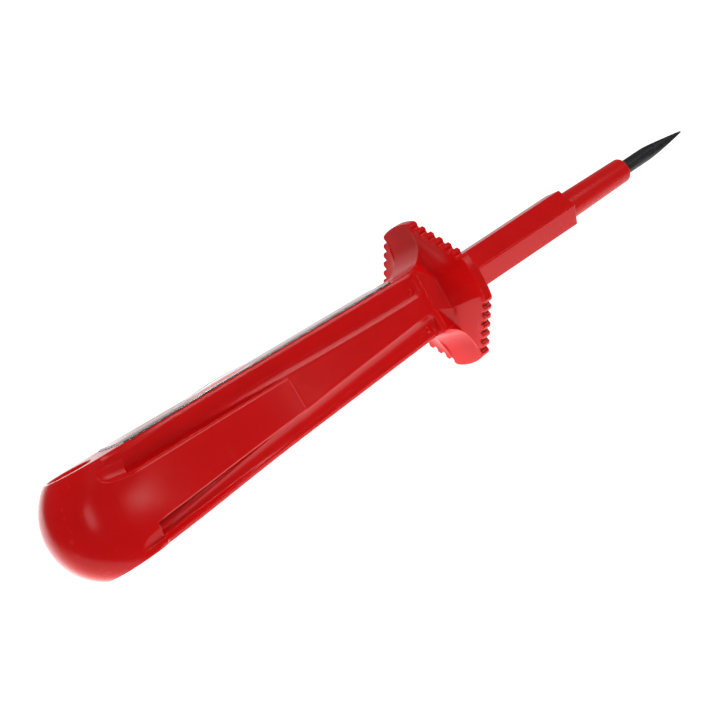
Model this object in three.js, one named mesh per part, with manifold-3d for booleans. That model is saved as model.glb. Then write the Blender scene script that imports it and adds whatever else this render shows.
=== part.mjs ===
// Voltage tester screwdriver: a red insulated handle with a clear window over its contact train,
// a toothed guard, a hex neck, and a slotted blade in an insulating sleeve.
// Millimetres. X runs along the tool to the blade's tip and Z points out of the window.
// Distances along the tool are measured from the guard's front face, forwards or backwards.

import * as THREE from "three";
import { mergeVertices } from "three/addons/utils/BufferGeometryUtils.js";
import Module from "manifold-3d";

const wasm = await Module();
wasm.setup();

// Clearances
const fitGap = 0.2; // around a piece that slips into another
const seatGap = 0.1; // between a piece and the face that carries it
const cutterReach = 2; // of a cutter past the surface that it opens
const lap = 0.05; // by which one surface passes another, so that they never coincide

// Handle
const handleLength = 108.8; // guard's front face to the butt's end
const frontTop = 7.6; // axis to the handle's top at the guard's face
const topSlope = 0.0345; // rise of the top per millimetre towards the butt
const frontBottom = 7.05; // axis to the handle's underside at the guard's face
const bottomSlope = 0.0415;
const waistHalfWidth = 6.9;
const waistBack = 50; // where the handle starts to widen
const buttHalfWidth = 9.7;
const buttRound = 14.5; // length of the butt's rounded end
const buttDomeRadius = 13.5; // radius of the butt's end seen from the side
const buttSquareness = 2.3; // exponent of the butt's plan curve, 2 is an ellipse

// Grooves, bands and tongues in the handle's sides
const grooveFade = 4; // length over which the front end rounds out
const grooveFrontDepth = 1.45; // of an upper groove's deepest line below the handle's side
const grooveRearDepth = 1.9;
const grooveTopDepth = 0.5; // of an upper groove where it runs out at the handle's top
const lowerGrooveDepth = 1.5;
const bandCurveTop = 1.5; // height of the curve from the groove's floor out to the band's upper edge
const bandCurveBottom = 2.3;
const tongueCurve = 0.4; // height of the same curve beside a tongue
const tongueCorner = 1; // length over which the curve changes at the tongue's front
const edgeChamfer = 0.9; // height of the chamfer along the handle's edges
const topEdgeSetback = 0.25;
const bottomEdgeSetback = 0.45;
const bandDepth = 0.6; // of the bands below the handle's side
const bandFrontTop = 2; // axis to the band's upper edge at its front
const bandFrontBottom = 2.8;
const tongueBack = 48; // front edge of the tongues
const tongueFrontTop = 2.9; // axis to the tongue's upper edge at its front
const tongueFrontBottom = 4.5;
const tongueRearTop = 5.2;
const tongueRearBottom = 6.5;
const grooveToButt = 19.2; // butt's end to the rear end of the grooves
const grooveStep = 0.6; // length of the wall that ends a groove
const scoopDepth = 1.3; // run-out behind each groove
const scoopLength = 6.3;
const scoopCurve = 1.2; // height of the curve along its inner edge

// Guard
const guardRadius = 17.6;
const guardThickness = 2.2;
const flatDepth = 2; // of the toothed flats below the guard's round
const toothDepth = 0.9;
const notchesPerFlat = 6;
const flatEnds = 0.25; // plain ends of a flat, in tooth pitches
const notchMouth = 0.61; // share of the tooth pitch
const notchRoot = 0.27;
const ridgeBack = 4.3; // ridge round the handle behind the guard
const ridgeProud = 0.7; // of the ridge beside the handle
const ridgeHalfHeight = 3.7; // of the ridge's upright sides
const ridgeFlare = 3; // length over which the handle flares to the ridge
const rimLedge = 0.7; // plain edge left round the ramps
const coveRadius = 6; // scoop from the handle up to each ear
const coveFoot = 0.8; // of the cove's web inside the handle

// Neck, sleeve and blade
const neckAcrossFlats = 9;
const neckLength = 41.6;
const sleeveLength = 22; // in front of the neck
const sleeveRearDiameter = 6.6;
const sleeveFrontDiameter = 6;
const sleeveEdge = 0.8; // rounding of the sleeve's front edge
const sleeveShankDiameter = 5.6;
const sleeveShankLength = 12; // inside the neck
const bladeDiameter = 3.5;
const bladeExposed = 20.8; // in front of the sleeve
const bladeGround = 12.5; // length of the ground tip
const bladeTipThickness = 0.4;
const bladeHollow = 1.2; // exponent of the grind, 1 is flat
const bladeTail = 4; // inside the chamber

// Window
const coverBack = 13; // front edge of the cover
const coverToButt = 21.8; // butt's end to the cover's rear edge
const coverThickness = 1;
const coverProud = 0.25;
const coverRim = 1.5; // handle's edge beside the cover
const coverCorner = 1.6;
const sealThickness = 0.4;
const sealWidth = 1.1;
const chamberLedge = 1.5; // shelf under the cover's ends
const lensLength = 25;
const lensWidth = 8.4;
const lensHeight = 0.8;

// Contact train
const capRadius = 2.5;
const capWall = 0.35;
const cradleWall = 0.85;
const cradleHeight = 3; // axis to the cradle's upper edge
const lockRingThickness = 1;
const lockRingRadius = 3.2;
const springWire = 0.6;
const springRadius = 1.7; // axis of the coil to the wire's centre
const springPitch = 1.9;
const frontSpringLength = 10;
const resistorLength = 20;
const resistorCapLength = 4;
const lampLength = 20;
const lampCapLength = 4.5;
const lampGlassWall = 0.5;
const electrodeRadius = 0.35;
const electrodeOffset = 0.6;
const electrodeLength = 10.5;
const strapThickness = 0.5;
const strapHalfWidth = 2.8;
const strapHeight = 2; // axis to the strap's underside
const strapDrop = 2.3; // axis to the foot of the strap's plate

// Touch contact in the thumb recess
const recessToButt = 11.8; // butt's end to the recess's centre
const recessRadius = 5.2;
const recessDepth = 1.5;
const buttonRadius = 3.5;
const buttonFlangeRadius = 4.4;
const buttonFlange = 1;
const buttonProud = 0.3; // above the recess's floor
const buttonDome = 0.5;
const collarHeight = 1.6;
const buttonSpringRadius = 2.5;
const buttonSpringWire = 0.5;
const buttonSpringCurls = 3;

// Finishes
const finishes = {
  redPlastic: { color: 0xb81214, roughness: 0.38, metalness: 0 },
  sleevePlastic: { color: 0xbe1a1c, roughness: 0.42, metalness: 0 },
  clearPlastic: { color: 0xeef2f2, roughness: 0.08, metalness: 0 },
  blackRubber: { color: 0x161616, roughness: 0.7, metalness: 0 },
  whitePlastic: { color: 0xe9e7e0, roughness: 0.5, metalness: 0 },
  blackSteel: { color: 0x262628, roughness: 0.4, metalness: 0.8 },
  springSteel: { color: 0xb9bcc0, roughness: 0.3, metalness: 1 },
  brass: { color: 0xc8a046, roughness: 0.3, metalness: 1 },
  nickel: { color: 0xc9c6bd, roughness: 0.25, metalness: 1 },
  resistorLacquer: { color: 0x9c5a34, roughness: 0.45, metalness: 0 },
  lampGlass: { color: 0xf3e7dc, roughness: 0.05, metalness: 0 },
};

// Stations worked out from the driving dimensions
const buttEnd = -handleLength;
const buttWidest = buttEnd + buttRound;
const grooveRear = buttEnd + grooveToButt;
const coverRear = buttEnd + coverToButt;
const coverFront = -coverBack;
const chamberFront = coverFront - chamberLedge;
const chamberRear = coverRear + chamberLedge;
const sleeveFront = neckLength + sleeveLength;
const bladeTip = sleeveFront + bladeExposed;
const buttonX = buttEnd + recessToButt;
const troughRadius = capRadius + fitGap;
const cradleHalfWidth = troughRadius + cradleWall;
const chamberHalfWidth = cradleHalfWidth + fitGap;
const chamberFloor = -cradleHalfWidth - seatGap;
const bladeBore = bladeDiameter / 2 + fitGap;
const bandHalfWidth = waistHalfWidth - bandDepth;
const ridgeHalfWidth = waistHalfWidth + ridgeProud;
const flareBack = ridgeBack + ridgeFlare; // front end of the grooves, where the guard's flare starts
const toothedFlat = guardRadius - flatDepth;
const toothPitch = (2 * Math.sqrt(guardRadius ** 2 - toothedFlat ** 2)) / (notchesPerFlat + flatEnds);

const roundSides = 32; // facets round a turned piece

// A geometry as a solid with its faces turned outwards
function solid(geometry) {
  const bare = new THREE.BufferGeometry();
  bare.setAttribute("position", geometry.getAttribute("position").clone());
  if (geometry.index) bare.setIndex(geometry.index.clone());
  const merged = mergeVertices(bare);
  const corners = merged.index.array;
  const points = merged.getAttribute("position").array;
  const kept = [];
  let volume = 0;
  for (let i = 0; i < corners.length; i += 3) {
    const [a, b, c] = [corners[i], corners[i + 1], corners[i + 2]];
    if (a === b || b === c || c === a) continue;
    kept.push(a, b, c);
    const [pa, pb, pc] = [a, b, c].map((k) => new THREE.Vector3().fromArray(points, 3 * k));
    volume += pa.dot(pb.cross(pc));
  }
  if (volume < 0) kept.reverse();
  const faces = { numProp: 3, vertProperties: points, triVerts: new Uint32Array(kept) };
  return new wasm.Manifold(new wasm.Mesh(faces));
}

// A solid back as a geometry for a mesh
function geometryOf(made) {
  const { numProp, vertProperties, triVerts } = made.getMesh();
  const points = [];
  for (let i = 0; i < vertProperties.length; i += numProp) {
    points.push(vertProperties[i], vertProperties[i + 1], vertProperties[i + 2]);
  }
  const geometry = new THREE.BufferGeometry();
  geometry.setAttribute("position", new THREE.Float32BufferAttribute(points, 3));
  geometry.setIndex(new THREE.BufferAttribute(triVerts, 1));
  return geometry;
}

function extruded(outline, depth) {
  const shape = new THREE.Shape(outline.map(([u, v]) => new THREE.Vector2(u, v)));
  return new THREE.ExtrudeGeometry(shape, { depth, bevelEnabled: false });
}

// Prisms along the three axes: outlines are [y, z], [x, z] and [x, y]
function prismX(outline, from, to) {
  const turn = new THREE.Matrix4().set(0, 0, 1, from, 1, 0, 0, 0, 0, 1, 0, 0, 0, 0, 0, 1);
  return solid(extruded(outline, to - from).applyMatrix4(turn));
}

function prismY(outline, from, to) {
  const turn = new THREE.Matrix4().set(0, 1, 0, 0, 0, 0, 1, from, 1, 0, 0, 0, 0, 0, 0, 1);
  const swapped = outline.map(([x, z]) => [z, x]);
  return solid(extruded(swapped, to - from).applyMatrix4(turn));
}

function prismZ(outline, from, to) {
  return solid(extruded(outline, to - from).translate(0, 0, from));
}

// Turned solids: about the tool's axis from [x, radius], and about an upright axis from [radius, z]
function turnedX(profile) {
  const points = profile.map(([x, r]) => new THREE.Vector2(r, x));
  return solid(new THREE.LatheGeometry(points, roundSides).rotateZ(-Math.PI / 2));
}

function turnedZ(profile, x) {
  const points = profile.map(([r, z]) => new THREE.Vector2(r, z));
  return solid(new THREE.LatheGeometry(points, roundSides).rotateX(Math.PI / 2).translate(x, 0, 0));
}

// A skin over rings of points, each ring with the same number of points, closed by flat ends
function loft(rings) {
  const count = rings[0].length;
  const points = rings.flat().flatMap((p) => [p.x, p.y, p.z]);
  const faces = [];
  for (let r = 0; r + 1 < rings.length; r++) {
    for (let k = 0; k < count; k++) {
      const a = r * count + k;
      const b = r * count + ((k + 1) % count);
      faces.push(a, b, b + count, a, b + count, a + count);
    }
  }
  const alongX = rings[0].every((p) => p.x === rings[0][0].x);
  const closeEnd = (ring, keepsOrder) => {
    const flat = rings[ring].map((p) => new THREE.Vector2(alongX ? p.z : p.x, p.y));
    const turnsLeft = THREE.ShapeUtils.area(flat) > 0;
    for (const face of THREE.ShapeUtils.triangulateShape(flat, [])) {
      const faceTurnsLeft = THREE.ShapeUtils.area(face.map((k) => flat[k])) > 0;
      if ((faceTurnsLeft === turnsLeft) !== keepsOrder) face.reverse();
      faces.push(...face.map((k) => ring * count + k));
    }
  };
  closeEnd(0, false);
  closeEnd(rings.length - 1, true);
  const geometry = new THREE.BufferGeometry();
  geometry.setAttribute("position", new THREE.Float32BufferAttribute(points, 3));
  geometry.setIndex(faces);
  return solid(geometry);
}

// A helical spring along X or Z, and the least gap between its neighbouring curls
class Helix extends THREE.Curve {
  constructor(radius, length, curls) {
    super();
    Object.assign(this, { radius, length, curls, arcLengthDivisions: 40 * curls });
  }

  getPoint(t, target = new THREE.Vector3()) {
    const angle = 2 * Math.PI * this.curls * t;
    return target.set(this.radius * Math.cos(angle), this.radius * Math.sin(angle), this.length * t);
  }
}

function spring(name, radius, wire, length, curls) {
  const stepsPerCurl = 8;
  const sides = 5;
  const path = new Helix(radius, length - wire, curls);
  const section = new THREE.Shape();
  for (let k = 0; k < sides; k++) {
    const angle = (2 * Math.PI * k) / sides;
    const [u, v] = [(wire / 2) * Math.cos(angle), (wire / 2) * Math.sin(angle)];
    if (k === 0) section.moveTo(u, v);
    else section.lineTo(u, v);
  }
  const steps = stepsPerCurl * curls;
  const along = path.getSpacedPoints(steps);
  let least = Infinity;
  for (let i = 0; i < along.length; i++) {
    for (let j = i + stepsPerCurl / 2; j < along.length; j++) {
      least = Math.min(least, along[i].distanceTo(along[j]) - wire);
    }
  }
  console.log(name + ": least gap between curls " + least.toFixed(2) + " mm");
  return new THREE.ExtrudeGeometry(section, { steps, extrudePath: path, curveSegments: 1 });
}

// Height of the handle's top, depth of its underside and half its width at a station along X
function topHeight(x) {
  return frontTop - topSlope * x;
}

function bottomDepth(x) {
  return frontBottom - bottomSlope * x;
}

// Distance from the axis to the top or the underside: level is the sign of Z
function faceHeight(x, level) {
  return level > 0 ? topHeight(x) : bottomDepth(x);
}

function halfWidth(x) {
  const t = THREE.MathUtils.smoothstep(-x, waistBack, -buttWidest);
  return THREE.MathUtils.lerp(waistHalfWidth, buttHalfWidth, t);
}

// A wedge slab whose faces follow the handle's sloping top
function topSlab(from, to, low, high) {
  const reach = 2 * buttHalfWidth;
  const outline = [
    [from, topHeight(from) + low],
    [to, topHeight(to) + low],
    [to, topHeight(to) + high],
    [from, topHeight(from) + high],
  ];
  return prismY(outline, -reach, reach);
}

// Handle blank: plan outlines stacked in height, with the butt's end domed
function handleBlank() {
  const sideSteps = 14;
  const endSteps = 20;
  const front = -flareBack;
  const levels = 10;
  const rings = [];
  for (let level = 0; level <= levels; level++) {
    const z = THREE.MathUtils.lerp(-bottomDepth(buttEnd), topHeight(buttEnd), level / levels);
    const sag = buttDomeRadius - Math.sqrt(Math.max(0, buttDomeRadius ** 2 - z ** 2));
    const widest = buttWidest + sag;
    const half = [];
    for (let k = 0; k < sideSteps; k++) {
      const x = THREE.MathUtils.lerp(front, widest, k / sideSteps);
      half.push([x, halfWidth(x)]);
    }
    for (let k = 0; k < endSteps / 2; k++) {
      const angle = (Math.PI * k) / endSteps;
      const power = 2 / buttSquareness;
      half.push([
        widest - buttRound * Math.sin(angle) ** power,
        buttHalfWidth * Math.cos(angle) ** power,
      ]);
    }
    const near = half.map(([x, y]) => new THREE.Vector3(x, -y, z));
    const far = half.map(([x, y]) => new THREE.Vector3(x, y, z)).reverse();
    rings.push([...near, new THREE.Vector3(widest - buttRound, 0, z), ...far]);
  }
  const reach = 2 * buttHalfWidth;
  const past = buttEnd - buttRound;
  const wedge = [
    [past, -bottomDepth(past)],
    [0, -bottomDepth(0)],
    [0, topHeight(0)],
    [past, topHeight(past)],
  ];
  return loft(rings).intersect(prismY(wedge, -reach, reach));
}

// Distance from the axis to an edge of the raised strip between the grooves:
// a band in front and a tongue behind, with its upper edge where level is positive
function stripEdge(x, level) {
  const [bandFront, tongueFront, tongueRear] =
    level > 0
      ? [bandFrontTop, tongueFrontTop, tongueRearTop]
      : [bandFrontBottom, tongueFrontBottom, tongueRearBottom];
  const step = -tongueBack;
  if (x > step) return THREE.MathUtils.mapLinear(x, -flareBack, step, bandFront, tongueFront);
  return THREE.MathUtils.mapLinear(Math.max(x, grooveRear), step, grooveRear, tongueFront, tongueRear);
}

// Height of the curve between the raised strip's edge and a groove's floor
function curveHeight(x, level) {
  if (x < grooveRear) return scoopCurve;
  if (x <= -tongueBack - tongueCorner) return tongueCurve;
  return level > 0 ? bandCurveTop : bandCurveBottom;
}

// Depth of a groove below the handle's side at a height above the raised strip's edge,
// where reach is the height of the handle's own edge
function grooveDepth(x, level, height, reach) {
  const strip = (x > -tongueBack - tongueCorner ? bandDepth : 0) - lap;
  const upper = THREE.MathUtils.mapLinear(x, -flareBack, grooveRear, grooveFrontDepth, grooveRearDepth);
  const [deep, edge, setback] =
    level > 0
      ? [upper, grooveTopDepth, topEdgeSetback]
      : [lowerGrooveDepth, lowerGrooveDepth, bottomEdgeSetback];
  const curve = curveHeight(x, level);
  const chamferFoot = reach - edgeChamfer;
  const u = Math.min(1, height / curve);
  const outwards = THREE.MathUtils.clamp((height - curve) / (chamferFoot - curve), 0, 1);
  const floor = strip + (deep - strip) * Math.sqrt(u * (2 - u)) + (edge - deep) * outwards;
  const chamfer = (setback * Math.max(0, height - chamferFoot)) / edgeChamfer;
  if (x < grooveRear) {
    const behind = THREE.MathUtils.clamp((grooveRear - grooveStep - x) / scoopLength, 0, 1);
    return THREE.MathUtils.lerp(-fitGap, Math.min(floor, scoopDepth) + chamfer, Math.sqrt(1 - behind ** 2));
  }
  const front = THREE.MathUtils.clamp((-flareBack - x) / grooveFade, 0, 1);
  return THREE.MathUtils.lerp(strip, floor + chamfer, Math.sqrt(1 - (1 - front) ** 2));
}

// Cutter of one side groove: side is the sign of Y and level the sign of Z
function grooveCutter(side, level) {
  const curveSteps = 4;
  const roundSteps = 4;
  const runs = 4;
  const round = (k) => Math.sin((Math.PI * k) / (2 * roundSteps));
  const stations = [-flareBack + fitGap];
  for (let k = 0; k <= roundSteps; k++) stations.push(-flareBack - grooveFade * (1 - round(roundSteps - k)));
  stations.push(-tongueBack - fitGap);
  for (let k = 0; k <= runs; k++) {
    stations.push(THREE.MathUtils.lerp(-tongueBack - tongueCorner, grooveRear, k / runs));
  }
  for (let k = 0; k <= roundSteps; k++) stations.push(grooveRear - grooveStep - scoopLength * round(k));
  const rings = stations.map((x) => {
    const low = stripEdge(x, level);
    const reach = faceHeight(x, level) - low;
    const curve = curveHeight(x, level);
    const chamferFoot = reach - edgeChamfer;
    const heights = [];
    for (let k = 0; k <= curveSteps; k++) {
      heights.push(curve * (1 - Math.cos((Math.PI * k) / (2 * curveSteps))));
    }
    const above = reach + cutterReach;
    heights.push((curve + chamferFoot) / 2, chamferFoot, above);
    const place = (depth, height) =>
      new THREE.Vector3(x, side * (halfWidth(x) - depth), level * (low + height));
    const ring = heights.map((height) => place(grooveDepth(x, level, height, reach), height));
    return [...ring, place(-cutterReach, above), place(-cutterReach, 0)];
  });
  return loft(rings);
}

// Cutter that lowers the band in front of a tongue
function bandCutter(side) {
  const low = side * bandHalfWidth;
  const high = side * (buttHalfWidth + cutterReach);
  const [rear, front] = [-tongueBack, -flareBack + fitGap];
  const edge = (x, level) => level * (stripEdge(x, level) + fitGap);
  const outline = [
    [rear, edge(rear, -1)],
    [front, edge(front, -1)],
    [front, edge(front, 1)],
    [rear, edge(rear, 1)],
  ];
  return prismY(outline, Math.min(low, high), Math.max(low, high));
}

// Guard outline in [y, z]: four smooth arcs and four toothed flats
function guardOutline() {
  const arcSteps = 8;
  const flatHalfAngle = Math.acos(toothedFlat / guardRadius);
  const points = [];
  for (let quarter = 0; quarter < 4; quarter++) {
    const middle = (quarter * Math.PI) / 2;
    const arcHalf = Math.PI / 4 - flatHalfAngle;
    for (let k = 0; k <= arcSteps; k++) {
      const angle = middle - arcHalf + (2 * arcHalf * k) / arcSteps;
      points.push([guardRadius * Math.cos(angle), guardRadius * Math.sin(angle)]);
    }
    const across = middle + Math.PI / 4;
    const place = (along, out) => [
      out * Math.cos(across) - along * Math.sin(across),
      out * Math.sin(across) + along * Math.cos(across),
    ];
    for (let k = 0; k < notchesPerFlat; k++) {
      const centre = (k - (notchesPerFlat - 1) / 2) * toothPitch;
      const [mouth, root] = [(notchMouth * toothPitch) / 2, (notchRoot * toothPitch) / 2];
      points.push(place(centre - mouth, toothedFlat));
      points.push(place(centre - root, toothedFlat - toothDepth));
      points.push(place(centre + root, toothedFlat - toothDepth));
      points.push(place(centre + mouth, toothedFlat));
    }
  }
  return points;
}

// Half width of the smooth ears at the guard's top and bottom
const earHalfWidth = guardRadius * Math.sin(Math.PI / 4 - Math.acos(toothedFlat / guardRadius));

// Eight-sided ring at a station: its upright sides, then its top and underside
function eightSided(x, wide, upright, narrow, top, bottom) {
  const ring = [
    [wide, upright],
    [narrow, top],
    [-narrow, top],
    [-wide, upright],
    [-wide, -upright],
    [-narrow, -bottom],
    [narrow, -bottom],
    [wide, -upright],
  ];
  return ring.map(([y, z]) => new THREE.Vector3(x, y, z));
}

// Ramped back of the guard: the handle flares to a ridge, and flat ramps run out to the rim
function guardRamps() {
  const start = -flareBack;
  const ridge = -ridgeBack;
  const rim = guardRadius - rimLedge;
  const rimCorner = (toothedFlat - toothDepth) * Math.SQRT2 - rim;
  const [top, bottom] = [topHeight(start) + lap, bottomDepth(start) + lap];
  const side = bandHalfWidth + 2 * lap;
  return loft([
    eightSided(start - fitGap, side - fitGap, bandFrontTop, side - fitGap, top - fitGap, bottom - fitGap),
    eightSided(start, side, bandFrontTop, side, top, bottom),
    eightSided(ridge, ridgeHalfWidth, ridgeHalfHeight, earHalfWidth, topHeight(ridge), bottomDepth(ridge)),
    eightSided(-guardThickness, rim, rimCorner, rimCorner, rim, rim),
    eightSided(-guardThickness / 2, rim, rimCorner, rimCorner, rim, rim),
  ]);
}

// Cove that sweeps from the handle up to an ear, as the arc's points in [x, z]
function coveArc(level) {
  const steps = 10;
  const start = -guardThickness - coveRadius;
  const base = faceHeight(start, level);
  const arc = [];
  for (let k = 0; k <= steps; k++) {
    const angle = (Math.PI * k) / (2 * steps);
    arc.push([
      start + coveRadius * Math.sin(angle),
      level * (base + coveRadius * (1 - Math.cos(angle))),
    ]);
  }
  return arc;
}

// Web under a cove, and the cutter that clears the cove through the ramps
function coveWeb(level) {
  const arc = coveArc(level);
  const foot = arc[0][1] - level * coveFoot;
  const inside = -guardThickness / 2;
  const outline = [[arc[0][0], foot], ...arc, [inside, arc[arc.length - 1][1]], [inside, foot]];
  return prismY(outline, -earHalfWidth, earHalfWidth);
}

function coveCutter(level) {
  const arc = coveArc(level);
  const outside = level * 2 * guardRadius;
  const outline = [...arc, [-guardThickness, outside], [arc[0][0], outside]];
  return prismY(outline, -earHalfWidth, earHalfWidth);
}

function hexOutline(acrossFlats) {
  const outline = [];
  for (let k = 0; k < 6; k++) {
    const angle = (k * Math.PI) / 3;
    const reach = acrossFlats / Math.sqrt(3);
    outline.push([reach * Math.cos(angle), reach * Math.sin(angle)]);
  }
  return outline;
}

// Plan outline of the cover in [x, y], drawn in by an inset
function coverOutline(inset) {
  const steps = 12;
  const front = coverFront - inset;
  const rear = coverRear + inset;
  const corner = Math.max(coverCorner - inset, fitGap);
  const reach = (x) => halfWidth(x) - coverRim - inset;
  const side = [[front, reach(front) - corner]];
  for (let k = 0; k <= steps; k++) {
    const x = THREE.MathUtils.lerp(front - corner, rear + corner, k / steps);
    side.push([x, reach(x)]);
  }
  side.push([rear, reach(rear) - corner]);
  return [...side, ...side.map(([x, y]) => [x, -y]).reverse()];
}

// Round bar along the tool's axis
function bar(from, to, radius) {
  return turnedX([
    [from, 0],
    [from, radius],
    [to, radius],
    [to, 0],
  ]);
}

// Heights in the touch contact's well, from its floor up
const buttonTopPlane = topHeight(buttonX);
const strapTop = strapHeight + strapThickness;
const recessFloor = buttonTopPlane - recessDepth;
const collarTop = recessFloor - seatGap;
const collarBottom = collarTop - collarHeight;
const flangeTop = collarBottom - seatGap;
const flangeBottom = flangeTop - buttonFlange;
const wellRadius = buttonFlangeRadius + fitGap;

// Thumb recess: a shallow spherical dish with the well under it
function recessCutter() {
  const steps = 8;
  const radius = (recessRadius ** 2 + recessDepth ** 2) / (2 * recessDepth);
  const reach = Math.asin(recessRadius / radius);
  const profile = [];
  for (let k = 0; k <= steps; k++) {
    const angle = (reach * k) / steps;
    profile.push([radius * Math.sin(angle), recessFloor + radius * (1 - Math.cos(angle))]);
  }
  profile.push([recessRadius, buttonTopPlane + recessDepth], [0, buttonTopPlane + recessDepth]);
  return turnedZ(profile, buttonX);
}

function wellCutter() {
  const floor = strapHeight - seatGap;
  const profile = [
    [0, floor],
    [wellRadius, floor],
    [wellRadius, buttonTopPlane],
    [0, buttonTopPlane],
  ];
  return turnedZ(profile, buttonX);
}

// Slot through which the contact strap reaches the well
function strapChannel() {
  const reach = strapHalfWidth + fitGap;
  const across = [
    [-reach, strapHeight - seatGap],
    [reach, strapHeight - seatGap],
    [reach, strapTop + fitGap],
    [-reach, strapTop + fitGap],
  ];
  return prismX(across, buttonX, chamberRear + fitGap);
}

// Chamber under the window, and the rebate that takes the seal and the cover
function chamberCutter() {
  const across = [
    [-chamberHalfWidth, chamberFloor],
    [chamberHalfWidth, chamberFloor],
    [chamberHalfWidth, buttonTopPlane + coverThickness],
    [-chamberHalfWidth, buttonTopPlane + coverThickness],
  ];
  const rebateDepth = coverThickness + sealThickness + 2 * seatGap;
  const rebate = prismZ(coverOutline(-fitGap), 0, 2 * buttonTopPlane).intersect(
    topSlab(2 * coverRear, 0, -rebateDepth, buttonTopPlane),
  );
  return prismX(across, chamberRear, chamberFront).add(rebate);
}

function handleBody() {
  let body = handleBlank();
  for (const side of [-1, 1]) {
    for (const level of [-1, 1]) body = body.subtract(grooveCutter(side, level));
    body = body.subtract(bandCutter(side));
  }
  body = body.add(guardRamps()).add(coveWeb(1)).add(coveWeb(-1));
  body = body.subtract(coveCutter(1)).subtract(coveCutter(-1));
  body = body.add(prismX(guardOutline(), -guardThickness, 0));
  body = body.add(prismX(hexOutline(neckAcrossFlats), -guardThickness / 2, neckLength));
  const shankBore = sleeveShankDiameter / 2 + fitGap;
  const cuts = [
    chamberCutter(),
    bar(chamberFront - fitGap, neckLength + fitGap, bladeBore),
    bar(neckLength - sleeveShankLength - seatGap, neckLength + fitGap, shankBore),
    recessCutter(),
    wellCutter(),
    strapChannel(),
  ];
  return cuts.reduce((left, cut) => left.subtract(cut), body);
}

function windowCover() {
  const plate = prismZ(coverOutline(0), 0, 2 * buttonTopPlane).intersect(
    topSlab(2 * coverRear, 0, -coverThickness, coverProud),
  );
  const lens = new THREE.SphereGeometry(1, roundSides, roundSides / 2);
  lens.scale(lensLength / 2, lensWidth / 2, lensHeight);
  lens.rotateY(Math.atan(topSlope));
  lens.translate(lampMiddle, 0, topHeight(lampMiddle) + coverProud);
  return plate.add(solid(lens));
}

function windowSeal() {
  const high = -coverThickness - seatGap;
  const frame = prismZ(coverOutline(0), 0, 2 * buttonTopPlane).subtract(
    prismZ(coverOutline(sealWidth), -fitGap, 3 * buttonTopPlane),
  );
  return frame.intersect(topSlab(2 * coverRear, 0, high - sealThickness, high));
}

function bladeSleeve() {
  const bore = bladeBore;
  const shank = sleeveShankDiameter / 2;
  const rear = sleeveRearDiameter / 2;
  const front = sleeveFrontDiameter / 2;
  const shoulder = neckLength + seatGap;
  const roundSteps = 4;
  const profile = [
    [neckLength - sleeveShankLength, bore],
    [neckLength - sleeveShankLength, shank],
    [shoulder, shank],
    [shoulder, rear],
  ];
  for (let k = 0; k <= roundSteps; k++) {
    const angle = (Math.PI * k) / (2 * roundSteps);
    profile.push([
      sleeveFront - sleeveEdge * (1 - Math.sin(angle)),
      front - sleeveEdge * (1 - Math.cos(angle)),
    ]);
  }
  profile.push([sleeveFront, bore], profile[0]);
  return turnedX(profile);
}

// Blade: a rod whose end is ground from above and below to a thin slotted tip
function blade() {
  const groundSteps = 6;
  const radius = bladeDiameter / 2;
  const rod = bar(chamberFront - bladeTail, bladeTip, radius);
  const rear = chamberFront - 2 * bladeTail;
  const groundStart = bladeTip - bladeGround;
  const upper = [
    [rear, bladeDiameter],
    [groundStart, bladeDiameter],
  ];
  for (let k = 0; k <= groundSteps; k++) {
    const t = k / groundSteps;
    upper.push([
      THREE.MathUtils.lerp(groundStart, bladeTip, t),
      THREE.MathUtils.lerp(radius, bladeTipThickness / 2, t ** bladeHollow),
    ]);
  }
  upper.push([bladeTip + fitGap, bladeTipThickness / 2]);
  const lower = upper.map(([x, z]) => [x, -z]).reverse();
  return rod.intersect(prismY([...upper, ...lower], -bladeDiameter, bladeDiameter));
}

// A cup-shaped end cap: front is where its closed end lies, and facing is the way it opens
function endCap(front, length, facing) {
  const inner = capRadius - capWall;
  const open = front + facing * length;
  const step = front + facing * capWall;
  return turnedX([
    [front, 0],
    [front, capRadius],
    [open, capRadius],
    [open, inner],
    [step, inner],
    [step, 0],
  ]);
}

function tube(from, to, outer, inner) {
  return turnedX([
    [from, inner],
    [from, outer],
    [to, outer],
    [to, inner],
    [from, inner],
  ]);
}

// Stations of the contact train, from the blade's tail back to the strap's plate
const tailEnd = chamberFront - bladeTail;
const frontSpringFront = tailEnd - seatGap;
const resistorFront = frontSpringFront - frontSpringLength - seatGap;
const resistorRear = resistorFront - resistorLength;
const lampFront = resistorRear - seatGap;
const lampRear = lampFront - lampLength;
const lampMiddle = (lampFront + lampRear) / 2;
const plateRear = chamberRear + seatGap;
const plateFront = plateRear + strapThickness;
const rearSpringFront = lampRear - seatGap;
const rearSpringLength = rearSpringFront - plateFront - seatGap;
const coreRadius = capRadius - capWall - fitGap / 2;

function lockRing() {
  const front = chamberFront - seatGap;
  return tube(front - lockRingThickness, front, lockRingRadius, bladeDiameter / 2 + seatGap);
}

function cradle() {
  const steps = 12;
  const inside = [];
  for (let k = 0; k <= steps; k++) {
    const angle = (-Math.PI * k) / steps;
    inside.push([troughRadius * Math.cos(angle), troughRadius * Math.sin(angle)]);
  }
  const section = [
    [-troughRadius, cradleHeight],
    [-cradleHalfWidth, cradleHeight],
    [-cradleHalfWidth, -cradleHalfWidth],
    [cradleHalfWidth, -cradleHalfWidth],
    [cradleHalfWidth, cradleHeight],
    [troughRadius, cradleHeight],
    ...inside,
  ];
  const front = chamberFront - seatGap - lockRingThickness - fitGap;
  return prismX(section, plateFront + fitGap, front);
}

function resistorBody() {
  const inset = capWall + seatGap;
  return bar(resistorRear + inset, resistorFront - inset, coreRadius);
}

function lampGlass() {
  const inset = capWall + seatGap;
  return tube(lampRear + inset, lampFront - inset, coreRadius, coreRadius - lampGlassWall);
}

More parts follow.
